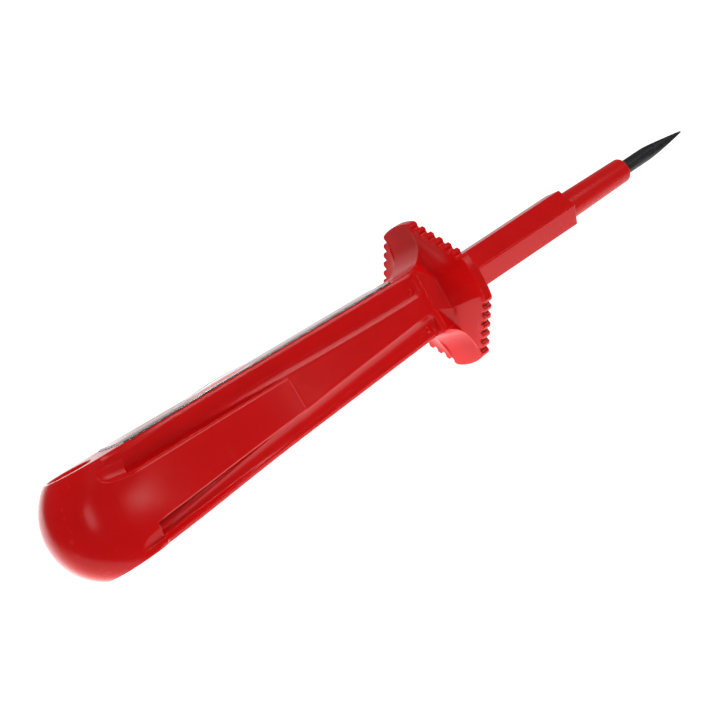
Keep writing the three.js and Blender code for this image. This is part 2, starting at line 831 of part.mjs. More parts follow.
// One straight electrode from its cap towards the lamp's middle, beside the axis
function electrode(root, facing, side) {
  const rod = new THREE.CylinderGeometry(electrodeRadius, electrodeRadius, electrodeLength, 12);
  rod.rotateZ(Math.PI / 2);
  const start = root + facing * (capWall + seatGap);
  rod.translate(start + (facing * electrodeLength) / 2, side * electrodeOffset, 0);
  return rod;
}

function contactStrap() {
  const end = buttonX - buttonSpringRadius - buttonSpringWire;
  const outline = [
    [plateFront, -strapDrop],
    [plateFront, strapTop],
    [end, strapTop],
    [end, strapHeight],
    [plateRear, strapHeight],
    [plateRear, -strapDrop],
  ];
  return prismY(outline, -strapHalfWidth, strapHalfWidth);
}

function touchButton() {
  const top = recessFloor + buttonProud;
  const shoulder = top - buttonDome;
  const steps = 5;
  const profile = [
    [0, flangeBottom],
    [buttonFlangeRadius, flangeBottom],
    [buttonFlangeRadius, flangeTop],
    [buttonRadius, flangeTop],
  ];
  for (let k = 0; k <= steps; k++) {
    const angle = (Math.PI * k) / (2 * steps);
    profile.push([buttonRadius * Math.cos(angle), shoulder + buttonDome * Math.sin(angle)]);
  }
  profile[profile.length - 1][0] = 0;
  return turnedZ(profile, buttonX);
}

function buttonCollar() {
  const inner = buttonRadius + fitGap;
  const outer = wellRadius - seatGap;
  return turnedZ(
    [
      [inner, collarBottom],
      [outer, collarBottom],
      [outer, collarTop],
      [inner, collarTop],
      [inner, collarBottom],
    ],
    buttonX,
  );
}

function trainSpring(name, front, length) {
  const curls = Math.max(2, Math.round((length - springWire) / springPitch));
  const coil = spring(name, springRadius, springWire, length, curls);
  return coil.rotateY(-Math.PI / 2).translate(front - springWire / 2, 0, 0);
}

function buttonSpring() {
  const floor = strapTop + seatGap;
  const length = flangeBottom - seatGap - floor;
  const coil = spring("button_spring", buttonSpringRadius, buttonSpringWire, length, buttonSpringCurls);
  return coil.translate(buttonX, 0, floor + buttonSpringWire / 2);
}

// The tool, moved so that the part's origin is under the middle of its length
const tool = new THREE.Group();
tool.position.set(-(bladeTip + buttEnd) / 2, 0, guardRadius);

function place(name, shape, finish) {
  const geometry = shape.isBufferGeometry ? shape : geometryOf(shape);
  const mesh = new THREE.Mesh(geometry, new THREE.MeshStandardMaterial(finishes[finish]));
  mesh.name = name;
  tool.add(mesh);
}

place("handle_body", handleBody(), "redPlastic");
place("window_cover", windowCover(), "clearPlastic");
place("window_seal", windowSeal(), "blackRubber");
place("blade_sleeve", bladeSleeve(), "sleevePlastic");
place("blade", blade(), "blackSteel");
place("blade_lock_ring", lockRing(), "springSteel");
place("component_cradle", cradle(), "whitePlastic");
place("front_spring", trainSpring("front_spring", frontSpringFront, frontSpringLength), "springSteel");
place("resistor_cap_front", endCap(resistorFront, resistorCapLength, -1), "brass");
place("resistor_body", resistorBody(), "resistorLacquer");
place("resistor_cap_rear", endCap(resistorRear, resistorCapLength, 1), "brass");
place("lamp_cap_front", endCap(lampFront, lampCapLength, -1), "brass");
place("lamp_glass", lampGlass(), "lampGlass");
place("lamp_cap_rear", endCap(lampRear, lampCapLength, 1), "brass");
place("lamp_electrode_front", electrode(lampFront, -1, 1), "nickel");
place("lamp_electrode_rear", electrode(lampRear, 1, -1), "nickel");
place("rear_spring", trainSpring("rear_spring", rearSpringFront, rearSpringLength), "springSteel");
place("contact_strap", contactStrap(), "brass");
place("touch_button", touchButton(), "nickel");
place("button_spring", buttonSpring(), "springSteel");
place("button_collar", buttonCollar(), "redPlastic");

const part = new THREE.Group();
part.add(tool);

export default part;
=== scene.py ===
import bmesh
import bpy
import math
from mathutils import Matrix, Vector


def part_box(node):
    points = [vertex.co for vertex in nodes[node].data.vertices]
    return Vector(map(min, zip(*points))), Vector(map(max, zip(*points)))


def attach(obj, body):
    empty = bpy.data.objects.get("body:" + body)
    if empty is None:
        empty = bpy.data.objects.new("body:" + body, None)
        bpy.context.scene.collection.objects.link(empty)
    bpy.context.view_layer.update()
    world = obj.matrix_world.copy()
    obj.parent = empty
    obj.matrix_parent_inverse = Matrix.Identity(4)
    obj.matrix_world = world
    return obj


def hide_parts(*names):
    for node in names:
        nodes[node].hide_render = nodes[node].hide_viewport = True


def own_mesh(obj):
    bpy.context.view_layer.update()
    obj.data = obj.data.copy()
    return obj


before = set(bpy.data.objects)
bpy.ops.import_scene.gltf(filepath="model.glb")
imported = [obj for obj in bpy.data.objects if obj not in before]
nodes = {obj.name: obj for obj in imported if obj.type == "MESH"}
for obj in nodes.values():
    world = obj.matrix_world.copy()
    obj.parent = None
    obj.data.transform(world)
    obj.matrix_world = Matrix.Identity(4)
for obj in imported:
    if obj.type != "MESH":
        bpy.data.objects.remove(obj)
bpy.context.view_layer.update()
mm = 0.001
print("frame loaded:", len(nodes), "nodes")

# Sizes in millimetres. Stations run along the tool from the guard's front face, towards the blade
handle = {
    "length": 108.8,
    "frontTop": 7.6,
    "topSlope": 0.0345,
    "frontBottom": 7.05,
    "bottomSlope": 0.0415,
    "waistHalfWidth": 6.9,
    "waistBack": 50,
    "buttHalfWidth": 9.7,
    "buttRound": 14.5,
    "buttDomeRadius": 13.5,
    "buttSquareness": 2.3,
    "barrel": 0.008,
    "barrelBack": 76,
    "wedgeHalfWidth": 20,  # wider than the handle, to cut its top and bottom
}
overlap = 0.2  # how far joined shapes and cutters reach past a face
handleLow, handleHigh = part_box("handle_body")
guardFace = handleLow.x + handle["length"] * mm
axisHeight = (handleLow.z + handleHigh.z) / 2
buttEnd = -handle["length"]
buttWidest = buttEnd + handle["buttRound"]


def at(x, y, z):  # a point of the tool in the frame's metres
    return Vector((guardFace + x * mm, y * mm, axisHeight + z * mm))


def lerp(a, b, t):
    return a + (b - a) * t


def clamp(t):  # keeps a share between 0 and 1
    return min(max(t, 0), 1)


def smoothStep(t):
    t = clamp(t)
    return t * t * (3 - 2 * t)


def spread(count):  # shares from 0 to 1
    return [k / count for k in range(count + 1)]


def quarterTurn(count):  # angles from 0 to a right angle
    return [math.pi * t / 2 for t in spread(count)]


def rectangle(half, low, high):  # an outline in y, z
    return [(-half, low), (half, low), (half, high), (-half, high)]


def pick(pair, level):  # the upper one, or the lower one
    return pair[0] if level > 0 else pair[1]


# Making tools
def startPiece(name, corners):
    if bpy.context.object and bpy.context.object.mode != "OBJECT":
        bpy.ops.object.mode_set(mode="OBJECT")
    bpy.ops.object.select_all(action="DESELECT")
    bpy.ops.mesh.primitive_circle_add(vertices=corners, radius=mm, fill_type="NGON")
    piece = bpy.context.object
    piece.name = name
    piece.data.name = name
    bpy.ops.object.mode_set(mode="EDIT")
    return piece


def moveFace(piece, points):  # moves the selected face's corners to these points
    shape = bmesh.from_edit_mesh(piece.data)
    face = next(f for f in shape.faces if f.select)
    for corner, point in zip(face.verts, points):
        corner.co = point
    bmesh.update_edit_mesh(piece.data)


def closePiece(piece):
    bpy.ops.mesh.select_all(action="SELECT")
    bpy.ops.mesh.remove_doubles(threshold=1e-7)
    bpy.ops.mesh.normals_make_consistent(inside=False)
    bpy.ops.object.mode_set(mode="OBJECT")
    return piece


def loft(name, rings):  # a skin extruded from ring to ring
    piece = startPiece(name, len(rings[0]))
    moveFace(piece, rings[0])
    for ring in rings[1:]:
        bpy.ops.mesh.extrude_region()
        moveFace(piece, ring)
    return closePiece(piece)


def prismX(name, outline, low, high):  # outline in y, z
    return loft(name, [[at(x, y, z) for y, z in outline] for x in (low, high)])


def prismY(name, outline, low, high):  # outline in x, z
    return loft(name, [[at(x, y, z) for x, z in outline] for y in (low, high)])


def spun(name, points, steps, centre, axis):
    piece = startPiece(name, len(points))
    moveFace(piece, points)
    bpy.ops.mesh.delete(type="ONLY_FACE")
    bpy.ops.mesh.select_all(action="SELECT")
    bpy.ops.mesh.spin(steps=steps, angle=2 * math.pi, center=centre, axis=axis)
    return closePiece(piece)


def turned(name, profile, steps=64):  # profile in x, radius about the tool's axis
    return spun(name, [at(x, 0, r) for x, r in profile], steps, at(0, 0, 0), (1, 0, 0))


def turnedUp(name, profile, x, steps=64):  # profile in radius, z about an upright axis at a station
    return spun(name, [at(x + r, 0, z) for r, z in profile], steps, at(x, 0, 0), (0, 0, 1))


def selectOnly(piece):
    bpy.ops.object.select_all(action="DESELECT")
    piece.select_set(True)
    bpy.context.view_layer.objects.active = piece


def applyModifier(piece, kind, **settings):
    selectOnly(piece)
    modifier = piece.modifiers.new(kind, kind)
    for key, value in settings.items():
        setattr(modifier, key, value)
    bpy.ops.object.modifier_apply(modifier=modifier.name)


def combine(target, tool, how):  # UNION, DIFFERENCE or INTERSECT, and the tool is used up
    applyModifier(target, "BOOLEAN", operation=how, solver="MANIFOLD", object=tool)
    bpy.data.objects.remove(tool)


# Handle
def topHeight(x):
    return handle["frontTop"] - handle["topSlope"] * x


def bottomDepth(x):
    return handle["frontBottom"] - handle["bottomSlope"] * x


def faceHeight(x, level):
    return topHeight(x) if level > 0 else bottomDepth(x)


def barrel(x, z):  # the butt's sides are slightly rounded from top to bottom
    t = (-x - handle["barrelBack"]) / (-buttWidest - handle["barrelBack"])
    return handle["barrel"] * z ** 2 * smoothStep(t)


def halfWidth(x, z=0):
    t = smoothStep((-x - handle["waistBack"]) / (-buttWidest - handle["waistBack"]))
    return lerp(handle["waistHalfWidth"], handle["buttHalfWidth"], t) - barrel(x, z)


guard = {
    "radius": 17.6,
    "thickness": 2.2,
    "flatDepth": 2,
    "toothDepth": 0.9,
    "notches": 6,
    "flatEnds": 0.25,
    "notchMouth": 0.61,
    "notchRoot": 0.27,
    "ridgeBack": 4.3,
    "ridgeProud": 0.7,
    "ridgeHalfHeight": 3.7,
    "flare": 3,
    "rimLedge": 0.7,
    "hollow": 1.6,
    "coveRadius": 6,
    "coveFoot": 0.8,
}
flareBack = guard["ridgeBack"] + guard["flare"]
toothedFlat = guard["radius"] - guard["flatDepth"]

groove = {  # pairs are upper and lower, and pairs within them front and rear
    "front": -8.8,
    "endRound": 1.8,
    "fade": 1.3,
    "bandDepth": 0.6,
    "bandEdge": ((2, 0.025, 0.0005), (1.9, 0.05, 0.00025)),  # height, slope and bend, back from the guard
    "deep": ((0.98, 1.1), (2.1, 2.1)),
    "rimDepth": ((0.45, 0.5), (2.0, 0.5)),
    "curve": ((1.8, 1.0), (3.3, 1.5)),
    "chamfer": 0.9,
    "setback": (0.28, 0.45),
    "tongueBack": 48,
    "tongueFront": (3.3, 4.4),
    "tongueRear": (4.85, 5.95),
    "tongueCorner": 0.8,
    "ridgeDepth": (1.0, 1.6),
    "smoothFrom": (0.3, 0.7),
    "undercut": (0.5, 0.25),
    "wallDepth": (1.3, 2.3),
    "undercutFrom": 6,
    "toButt": 19.2,
    "step": 0.9,
    "scoopDepth": (0.85, 1.2),
    "scoopLength": 7.2,
    "scoopRise": (0.7, 0.6),
    "scoopRim": (0.75, 1.0),
    "scoopSquareness": 2.6,
    "pips": ((-10.7, 4.3), (-10.9, -5.1)),
    "pipRadius": 0.75,
    "pipSink": 0.15,
    "skim": 0.05,
    "clear": 0.2,
    "bandSpare": 0.12,  # past the band's edges, so that no sliver stays at the grooves
    "reach": 2,
}
grooveRear = buttEnd + groove["toButt"]
grooveStart = -flareBack + overlap
bandFloor = groove["bandDepth"] - groove["skim"]


def bandEdge(x, level):  # height of the crisp edge beside the flat band
    height, slope, bend = pick(groove["bandEdge"], level)
    back = -flareBack - x
    return height + slope * back + bend * back ** 2


def tongueShare(x):  # 0 at the tongue's front, 1 at the groove's rear
    return clamp((-groove["tongueBack"] - x) / (-groove["tongueBack"] - grooveRear))


def tongueEdge(x, level):
    return lerp(pick(groove["tongueFront"], level), pick(groove["tongueRear"], level), tongueShare(x))


def ridgeEdge(x, level):
    band = bandEdge(x, level)
    return max(band, tongueEdge(x, level) + 0.02) if tongueShare(x) else band


def hollowArc(height, curve, drop):  # depth of a concave curve that meets the floor at its foot
    if height >= curve:
        return drop
    if drop < curve:
        radius = (curve ** 2 + drop ** 2) / (2 * drop)
        return drop - radius + math.sqrt(radius ** 2 - (curve - height) ** 2)
    u = height / curve
    return drop * math.sqrt(u * (2 - u))


def sectionDepth(x, level, z):  # of the groove's section at a station, and z is a distance from the axis
    t = tongueShare(x)
    edge = ridgeEdge(x, level)
    ridge = lerp(bandFloor, pick(groove["ridgeDepth"], level), t * (2 - t))
    rim = lerp(*pick(groove["rimDepth"], level), t ** 2)
    foot = faceHeight(x, level) - groove["chamfer"]
    chamfer = pick(groove["setback"], level) * max(0, z - foot) / groove["chamfer"]
    if z <= edge:  # cut deeper beside the tongue
        behind = (-groove["tongueBack"] - x) / groove["undercutFrom"]
        depth = ridge + pick(groove["undercut"], level) * smoothStep(behind) * (edge - z)
    else:
        deep = max(lerp(*pick(groove["deep"], level), t), ridge + 0.03)
        curve = lerp(*pick(groove["curve"], level), t)
        along = clamp((z - edge - curve) / (foot - edge - curve))
        depth = ridge + hollowArc(z - edge, curve, deep - ridge) + (rim - deep) * along
    if level > 0:  # the ridge dies out towards the butt
        first, last = groove["smoothFrom"]
        rise = clamp((z - tongueEdge(x, level)) / (foot - tongueEdge(x, level)))
        swept = lerp(rim, lerp(*groove["wallDepth"], t), (1 - rise) * (1 - 0.6 * rise))
        depth = lerp(depth, swept, smoothStep((t - first) / (last - first)))
    return depth + chamfer


def scoopDepth(x, level, z):  # the run-out behind the groove
    back = grooveRear - x
    clear = -groove["clear"]
    floor = sectionDepth(grooveRear, level, z)
    wall = lerp(clear, floor, math.sqrt(1 - clamp(back / groove["step"]) ** 2))
    along = back / groove["scoopLength"]
    low = tongueEdge(x, level) + pick(groove["scoopRise"], level) * along
    high = faceHeight(x, level) - pick(groove["scoopRim"], level)
    across = clamp((z - low) / (high - low))
    power = groove["scoopSquareness"]
    if level > 0:
        bowl = max(0, 1 - abs(2 * across - 1) ** power - clamp(along) ** power) ** 0.4
    else:  # soft beside the tongue, crisp at the bottom
        bowl = across ** 1.2 * max(0, 1 - across ** 7 - clamp(along) ** power) ** 0.4
    if z > faceHeight(x, level):
        wall = lerp(floor, clear, smoothStep(along))
    return max(wall, min(floor, lerp(clear, pick(groove["scoopDepth"], level), bowl)))


def grooveDepth(x, level, z):
    if x < grooveRear:
        return scoopDepth(x, level, z)
    corner = groove["endRound"]
    up = clamp((z - ridgeEdge(x, level)) / corner) * corner
    end = groove["front"] - corner + math.sqrt(corner ** 2 - (corner - up) ** 2)
    t = clamp((end - x) / groove["fade"])
    return lerp(bandFloor, sectionDepth(x, level, z), math.sqrt(1 - (1 - t) ** 2))


def handleBlank():
    front = -flareBack
    rings = []
    for share in spread(40):
        z = lerp(-bottomDepth(buttEnd), topHeight(buttEnd), share)
        radius = handle["buttDomeRadius"]
        widest = buttWidest + radius - math.sqrt(radius ** 2 - z ** 2)
        half = [(x, halfWidth(x, z)) for x in (lerp(front, widest, t) for t in spread(48)[:-1])]
        power = 2 / handle["buttSquareness"]
        for angle in quarterTurn(30)[:-1]:
            x = widest - handle["buttRound"] * math.sin(angle) ** power
            half.append((x, halfWidth(widest, z) * math.cos(angle) ** power))
        ring = [at(x, -y, z) for x, y in half] + [at(widest - handle["buttRound"], 0, z)]
        rings.append(ring + [at(x, y, z) for x, y in reversed(half)])
    blank = loft("handleShell", rings)
    past, wide = buttEnd - handle["buttRound"], handle["wedgeHalfWidth"]
    wedge = [(x, -bottomDepth(x)) for x in (past, 0)] + [(x, topHeight(x)) for x in (0, past)]
    combine(blank, prismY("wedge", wedge, -wide, wide), "INTERSECT")
    return blank


def grooveCutter(side, level):
    front, step = groove["front"], -groove["tongueBack"]
    corner = groove["tongueCorner"]
    stations = [grooveStart, front + 0.1]
    stations += [lerp(front, front - groove["endRound"] - groove["fade"], t) for t in spread(24)]
    stations += [lerp(stations[-1], step + 0.05, t) for t in spread(20)[1:]]
    stations += [step - corner * (1 - math.cos(a)) for a in quarterTurn(8)]
    stations += [lerp(step - corner, grooveRear, t) for t in spread(36)[1:]]
    stations += [grooveRear - groove["step"] * math.sin(a) for a in quarterTurn(8)[1:]]
    stations += [lerp(stations[-1], grooveRear - groove["scoopLength"] - 0.05, t) for t in spread(20)[1:]]
    rings = []
    for x in stations:
        place = max(x, grooveRear)
        edge = ridgeEdge(place, level)
        foot = faceHeight(place, level) - groove["chamfer"]
        above = faceHeight(x, level) + groove["reach"]
        curve = lerp(*pick(groove["curve"], level), tongueShare(place))
        low = edge - 0.3
        if x <= step:
            u = clamp((step - x) / corner)
            low = tongueEdge(x, level) - corner * (1 - math.sqrt(1 - (1 - u) ** 2))
        heights = [lerp(low, edge, t) for t in spread(12)]
        heights += [edge + curve * (1 - math.cos(a)) for a in quarterTurn(12)[1:]]
        heights += [lerp(edge + curve, foot, t) for t in spread(12)[1:]] + [above]
        depths = [(grooveDepth(x, level, z), z) for z in heights]
        depths += [(-groove["reach"], above), (-groove["reach"], low)]
        rings.append([at(x, side * (halfWidth(x, z) - depth), level * z) for depth, z in depths])
    return loft("grooveCutter", rings)


def bandCutter(side):
    spare = groove["bandSpare"]
    stations = [lerp(-groove["tongueBack"], grooveStart, t) for t in spread(20)]
    outline = [(x, -bandEdge(x, -1) - spare) for x in stations]
    outline += [(x, bandEdge(x, 1) + spare) for x in reversed(stations)]
    low = side * (handle["waistHalfWidth"] - groove["bandDepth"])
    return prismY("bandCutter", outline, low, side * (handle["buttHalfWidth"] + groove["reach"]))


def groovePip(side, x, z):  # ejector mark near a groove's front end
    depth = grooveDepth(x, 1 if z > 0 else -1, abs(z))
    y = side * (halfWidth(x) - depth - groove["pipSink"])
    bpy.ops.object.select_all(action="DESELECT")
    bpy.ops.mesh.primitive_uv_sphere_add(segments=24, ring_count=16, radius=groove["pipRadius"] * mm,
                                         location=at(x, y, z))
    bpy.ops.object.transform_apply(location=True, rotation=True, scale=True)
    return bpy.context.object


def guardOutline():
    radius = guard["radius"]
    flatHalfAngle = math.acos(toothedFlat / radius)
    pitch = 2 * math.sqrt(radius ** 2 - toothedFlat ** 2) / (guard["notches"] + guard["flatEnds"])
    points = []
    for quarter in range(4):
        middle = quarter * math.pi / 2
        arcHalf = math.pi / 4 - flatHalfAngle
        for t in spread(24):
            angle = middle + arcHalf * (2 * t - 1)
            points.append((radius * math.cos(angle), radius * math.sin(angle)))
        across = middle + math.pi / 4
        for k in range(guard["notches"]):
            centre = (k - (guard["notches"] - 1) / 2) * pitch
            mouth, root = guard["notchMouth"] * pitch / 2, guard["notchRoot"] * pitch / 2
            deep = toothedFlat - guard["toothDepth"]
            for along, out in ((-mouth, toothedFlat), (-root, deep), (root, deep), (mouth, toothedFlat)):
                y = out * math.cos(across) - (centre + along) * math.sin(across)
                points.append((y, out * math.sin(across) + (centre + along) * math.cos(across)))
    return points


earHalfWidth = guard["radius"] * math.sin(math.pi / 4 - math.acos(toothedFlat / guard["radius"]))


def eightSided(x, wide, upright, narrow, top, bottom):
    ring = [(wide, upright), (narrow, top), (-narrow, top), (-wide, upright)]
    ring += [(-wide, -upright), (-narrow, -bottom), (narrow, -bottom), (wide, -upright)]
    return [at(x, y, z) for y, z in ring]


def guardRamps():
    start, ridge, back = -flareBack, -guard["ridgeBack"], -guard["thickness"]
    rim = guard["radius"] - guard["rimLedge"]
    corner = (toothedFlat - guard["toothDepth"]) * math.sqrt(2) - rim
    waist = handle["waistHalfWidth"]
    side = waist - groove["bandDepth"] + 0.1
    foot = (side, bandEdge(start, 1), side, topHeight(start) + 0.05, bottomDepth(start) + 0.05)
    inside = (foot[0] - overlap, foot[1], foot[2] - overlap, foot[3] - overlap, foot[4] - overlap)
    wide, upright = waist + guard["ridgeProud"], guard["ridgeHalfHeight"]
    crest = (wide, upright, earHalfWidth, topHeight(ridge), bottomDepth(ridge))
    outer = (rim, corner, corner, rim, rim)
    rings = [eightSided(start - overlap, *inside), eightSided(start, *foot)]
    for t in spread(12):  # hollow between the ridge and the rim
        x = lerp(ridge, back, 1 - (1 - t) ** guard["hollow"])
        rings.append(eightSided(x, *[lerp(low, high, t) for low, high in zip(crest, outer)]))
    return loft("guardRamps", rings + [eightSided(back / 2, *outer)])


def coveArc(level):
    radius = guard["coveRadius"]
    start = -guard["thickness"] - radius
    base = faceHeight(start, level)
    heights = [(a, base + radius * (1 - math.cos(a))) for a in quarterTurn(32)]
    return [(start + radius * math.sin(a), level * height) for a, height in heights]


def coveWeb(level):
    arc = coveArc(level)
    foot = arc[0][1] - level * guard["coveFoot"]
    inside = -guard["thickness"] / 2
    outline = [(arc[0][0], foot)] + arc + [(inside, arc[-1][1]), (inside, foot)]
    return prismY("coveWeb", outline, -earHalfWidth, earHalfWidth)


def coveCutter(level):
    arc = coveArc(level)
    outside = level * 2 * guard["radius"]
    outline = arc + [(-guard["thickness"], outside), (arc[0][0], outside)]
    return prismY("coveCutter", outline, -earHalfWidth, earHalfWidth)


neck = {"acrossFlats": 9, "length": 41.6, "shankBore": 3.0, "shankDepth": 12.1, "bladeBore": 1.95}


def bar(name, low, high, radius):
    return turned(name, [(low, 0), (low, radius), (high, radius), (high, 0)])


window = {
    "front": -13,
    "toButt": 21.8,
    "rim": 1.5,
    "corner": 1.6,
    "plate": 1.0,
    "proud": 0.25,
    "seal": 0.4,
    "sealWidth": 0.7,
    "seat": 0.1,
    "gap": 0.2,
    "ledge": 1.5,
    "lensLength": 25,
    "lensWidth": 8.4,
    "lensHeight": 0.8,
    "lensRoot": 0.4,
    "lensSink": 0.02,
    "lensFlow": 1.4,
    "lidEdge": (  # inset and height, from the underside up
        (0.12, -1.0), (0.03, -0.95), (0, -0.86), (0, 0.05), (0.03, 0.15), (0.1, 0.22), (0.22, 0.25)),
    "lipDrop": 0.16,
    "lipClear": 0.03,
    "above": 3,
    "chamberHalfWidth": 3.75,
    "chamberFloor": -3.65,
    "chamberTop": 14,
}
windowRear = buttEnd + window["toButt"]
chamberFront = window["front"] - window["ledge"]
chamberRear = windowRear + window["ledge"]


def windowOutline(inset):
    front, rear = window["front"] - inset, windowRear + inset
    corner = max(window["corner"] - inset, window["gap"])
    side = []
    for a in quarterTurn(8):
        x = front - corner * (1 - math.cos(a))
        side.append((x, halfWidth(x) - window["rim"] - inset - corner * (1 - math.sin(a))))
    for t in spread(40)[1:-1]:
        x = lerp(front - corner, rear + corner, t)
        side.append((x, halfWidth(x) - window["rim"] - inset))
    for a in quarterTurn(8):
        x = rear + corner * (1 - math.sin(a))
        side.append((x, halfWidth(x) - window["rim"] - inset - corner * (1 - math.cos(a))))
    return side + [(x, -y) for x, y in reversed(side)]


def topSlab(name, inset, low, high):  # follows the handle's sloping top
    outline = windowOutline(inset)
    return loft(name, [[at(x, y, topHeight(x) + lift) for x, y in outline] for lift in (low, high)])


touch = {
    "toButt": 11.8,
    "dishRadius": 5.2,
    "dishDepth": 1.5,
    "wellRadius": 4.6,
    "wellFloor": 1.9,
    "slotHalfWidth": 3.0,
    "slotTop": 2.7,
}
touchX = buttEnd + touch["toButt"]
touchTop = topHeight(touchX)


def dishCutter():
    wide, deep = touch["dishRadius"], touch["dishDepth"]
    radius = (wide ** 2 + deep ** 2) / (2 * deep)
    reach = math.asin(wide / radius)
    floor = touchTop - deep
    angles = [reach * t for t in spread(20)]
    profile = [(radius * math.sin(a), floor + radius * (1 - math.cos(a))) for a in angles]
    return turnedUp("dishCutter", profile + [(wide, touchTop + deep), (0, touchTop + deep)], touchX)


def handleShell():
    shell = handleBlank()
    for side in (-1, 1):
        for level in (-1, 1):
            combine(shell, grooveCutter(side, level), "DIFFERENCE")
        combine(shell, bandCutter(side), "DIFFERENCE")
        for x, z in groove["pips"]:
            combine(shell, groovePip(side, x, z), "UNION")
    print("handle blank and grooves:", len(shell.data.polygons), "faces")
    combine(shell, guardRamps(), "UNION")
    for level in (-1, 1):
        combine(shell, coveWeb(level), "UNION")
    for level in (-1, 1):
        combine(shell, coveCutter(level), "DIFFERENCE")
    combine(shell, prismX("guardDisc", guardOutline(), -guard["thickness"], 0), "UNION")
    reach = neck["acrossFlats"] / math.sqrt(3)
    corners = [k * math.pi / 3 for k in range(6)]
    hexagon = [(reach * math.cos(a), reach * math.sin(a)) for a in corners]
    combine(shell, prismX("neck", hexagon, -guard["thickness"] / 2, neck["length"]), "UNION")
    section = rectangle(window["chamberHalfWidth"], window["chamberFloor"], window["chamberTop"])
    combine(shell, prismX("chamber", section, chamberRear, chamberFront), "DIFFERENCE")
    depth = window["plate"] + window["seal"] + 2 * window["seat"]
    combine(shell, topSlab("rebate", -window["gap"], -depth, window["above"]), "DIFFERENCE")
    mouth = neck["length"] + overlap
    combine(shell, bar("bladeBore", chamberFront - overlap, mouth, neck["bladeBore"]), "DIFFERENCE")
    shank = neck["length"] - neck["shankDepth"]
    combine(shell, bar("shankBore", shank, mouth, neck["shankBore"]), "DIFFERENCE")
    combine(shell, dishCutter(), "DIFFERENCE")
    floor, radius = touch["wellFloor"], touch["wellRadius"]
    well = [(0, floor), (radius, floor), (radius, touchTop), (0, touchTop)]
    combine(shell, turnedUp("well", well, touchX), "DIFFERENCE")
    slot = rectangle(touch["slotHalfWidth"], floor, touch["slotTop"])
    combine(shell, prismX("strapSlot", slot, touchX, chamberRear + overlap), "DIFFERENCE")
    return shell


moulding = {"voxel": 0.15, "passes": 8, "triangles": 195000}


def softenShell(shell):  # rounds every moulded edge, then thins the flat stretches
    voxel = moulding["voxel"] * mm
    applyModifier(shell, "REMESH", mode="VOXEL", voxel_size=voxel, use_smooth_shade=True)
    applyModifier(shell, "SMOOTH", factor=0.5, iterations=moulding["passes"])
    ratio = moulding["triangles"] / (2 * len(shell.data.polygons))
    applyModifier(shell, "DECIMATE", decimate_type="COLLAPSE", ratio=ratio)
    applyModifier(shell, "WEIGHTED_NORMAL", mode="FACE_AREA", weight=50, keep_sharp=False)
    return shell


# Blade, sleeve and lock ring
blade = {
    "radius": 1.75,
    "tail": -18.5,
    "tip": 84.4,
    "ground": 12.5,
    "tipThickness": 0.4,
    "hollow": 1.2,
    "tailChamfer": 0.3,
}


def bladeRod():
    start = blade["tip"] - blade["ground"]
    chamfer = blade["tailChamfer"]
    stations = [(blade["tail"], 0), (blade["tail"] + chamfer, 0), (start - 0.2, 0)]
    stations += [(lerp(start, blade["tip"], t), t) for t in spread(48)]
    rings = []
    for x, t in stations:
        radius = blade["radius"] - (chamfer if x == blade["tail"] else 0)
        limit = lerp(blade["radius"], blade["tipThickness"] / 2, t ** blade["hollow"])
        ring = []
        for k in range(72):
            angle = 2 * math.pi * k / 72
            lift = radius * math.sin(angle)
            ring.append(at(x, radius * math.cos(angle), min(max(lift, -limit), limit)))
        rings.append(ring)
    return loft("bladeRod", rings)


sleeve = {
    "rearRadius": 3.3,
    "frontRadius": 3.0,
    "shankRadius": 2.8,
    "shankBack": 29.6,
    "shoulder": 41.7,
    "front": 63.6,
    "edge": 0.8,
    "rearEdge": 0.25,
    "bore": 1.95,
    "boreEdge": 0.12,
}


def sleeveTube():
    profile = [(sleeve["shankBack"], sleeve["bore"]), (sleeve["shankBack"], sleeve["shankRadius"])]
    profile += [(sleeve["shoulder"], sleeve["shankRadius"])]
    rear, edge = sleeve["rearRadius"], sleeve["rearEdge"]
    for a in quarterTurn(6):
        profile.append((sleeve["shoulder"] + edge * (1 - math.cos(a)), rear - edge * (1 - math.sin(a))))
    front, edge = sleeve["frontRadius"], sleeve["edge"]
    for a in quarterTurn(12):
        profile.append((sleeve["front"] - edge * (1 - math.sin(a)), front - edge * (1 - math.cos(a))))
    bore, edge = sleeve["bore"], sleeve["boreEdge"]
    profile += [(sleeve["front"], bore + edge), (sleeve["front"] - edge, bore)]
    return turned("insulatingSleeve", profile, 96)


lockRing = {"front": -14.6, "thickness": 1.0, "radius": 3.2, "bore": 1.85, "dish": 0.35}


def lockWasher():
    front, rear = lockRing["front"], lockRing["front"] - lockRing["thickness"]
    bore, rim, dish = lockRing["bore"], lockRing["radius"], lockRing["dish"]
    profile = [(front - dish, bore), (front - 0.05, bore + 0.5), (front, rim - 0.2), (front - 0.2, rim)]
    profile += [(rear + 0.2, rim), (rear, rim - 0.2), (rear + 0.1, bore + 0.5), (rear, bore)]
    return turned("lockWasher", profile)


# Window
def windowCover():
    rings = []
    for inset, lift in window["lidEdge"]:
        rings.append([at(x, y, topHeight(x) + lift) for x, y in windowOutline(inset)])
    cover = loft("windowCover", rings)
    combine(cover, lowLens(), "UNION")
    return cover


def lowLens():  # a blister over the lamp that runs out flat into the lid
    long, wide = window["lensLength"] / 2, window["lensWidth"] / 2
    steps = [(1, -window["lensRoot"])]
    for t in spread(24)[:-1]:
        rise = window["lensHeight"] * (1 - (1 - t) ** 2) ** window["lensFlow"]
        steps.append((1 - t, window["proud"] - window["lensSink"] + rise))
    rings = []
    for share, lift in steps:
        ring = []
        for k in range(96):
            a = 2 * math.pi * k / 96
            x = lampMiddle + share * long * math.cos(a)
            ring.append(at(x, share * wide * math.sin(a), topHeight(x) + lift))
        rings.append(ring)
    return loft("lowLens", rings)


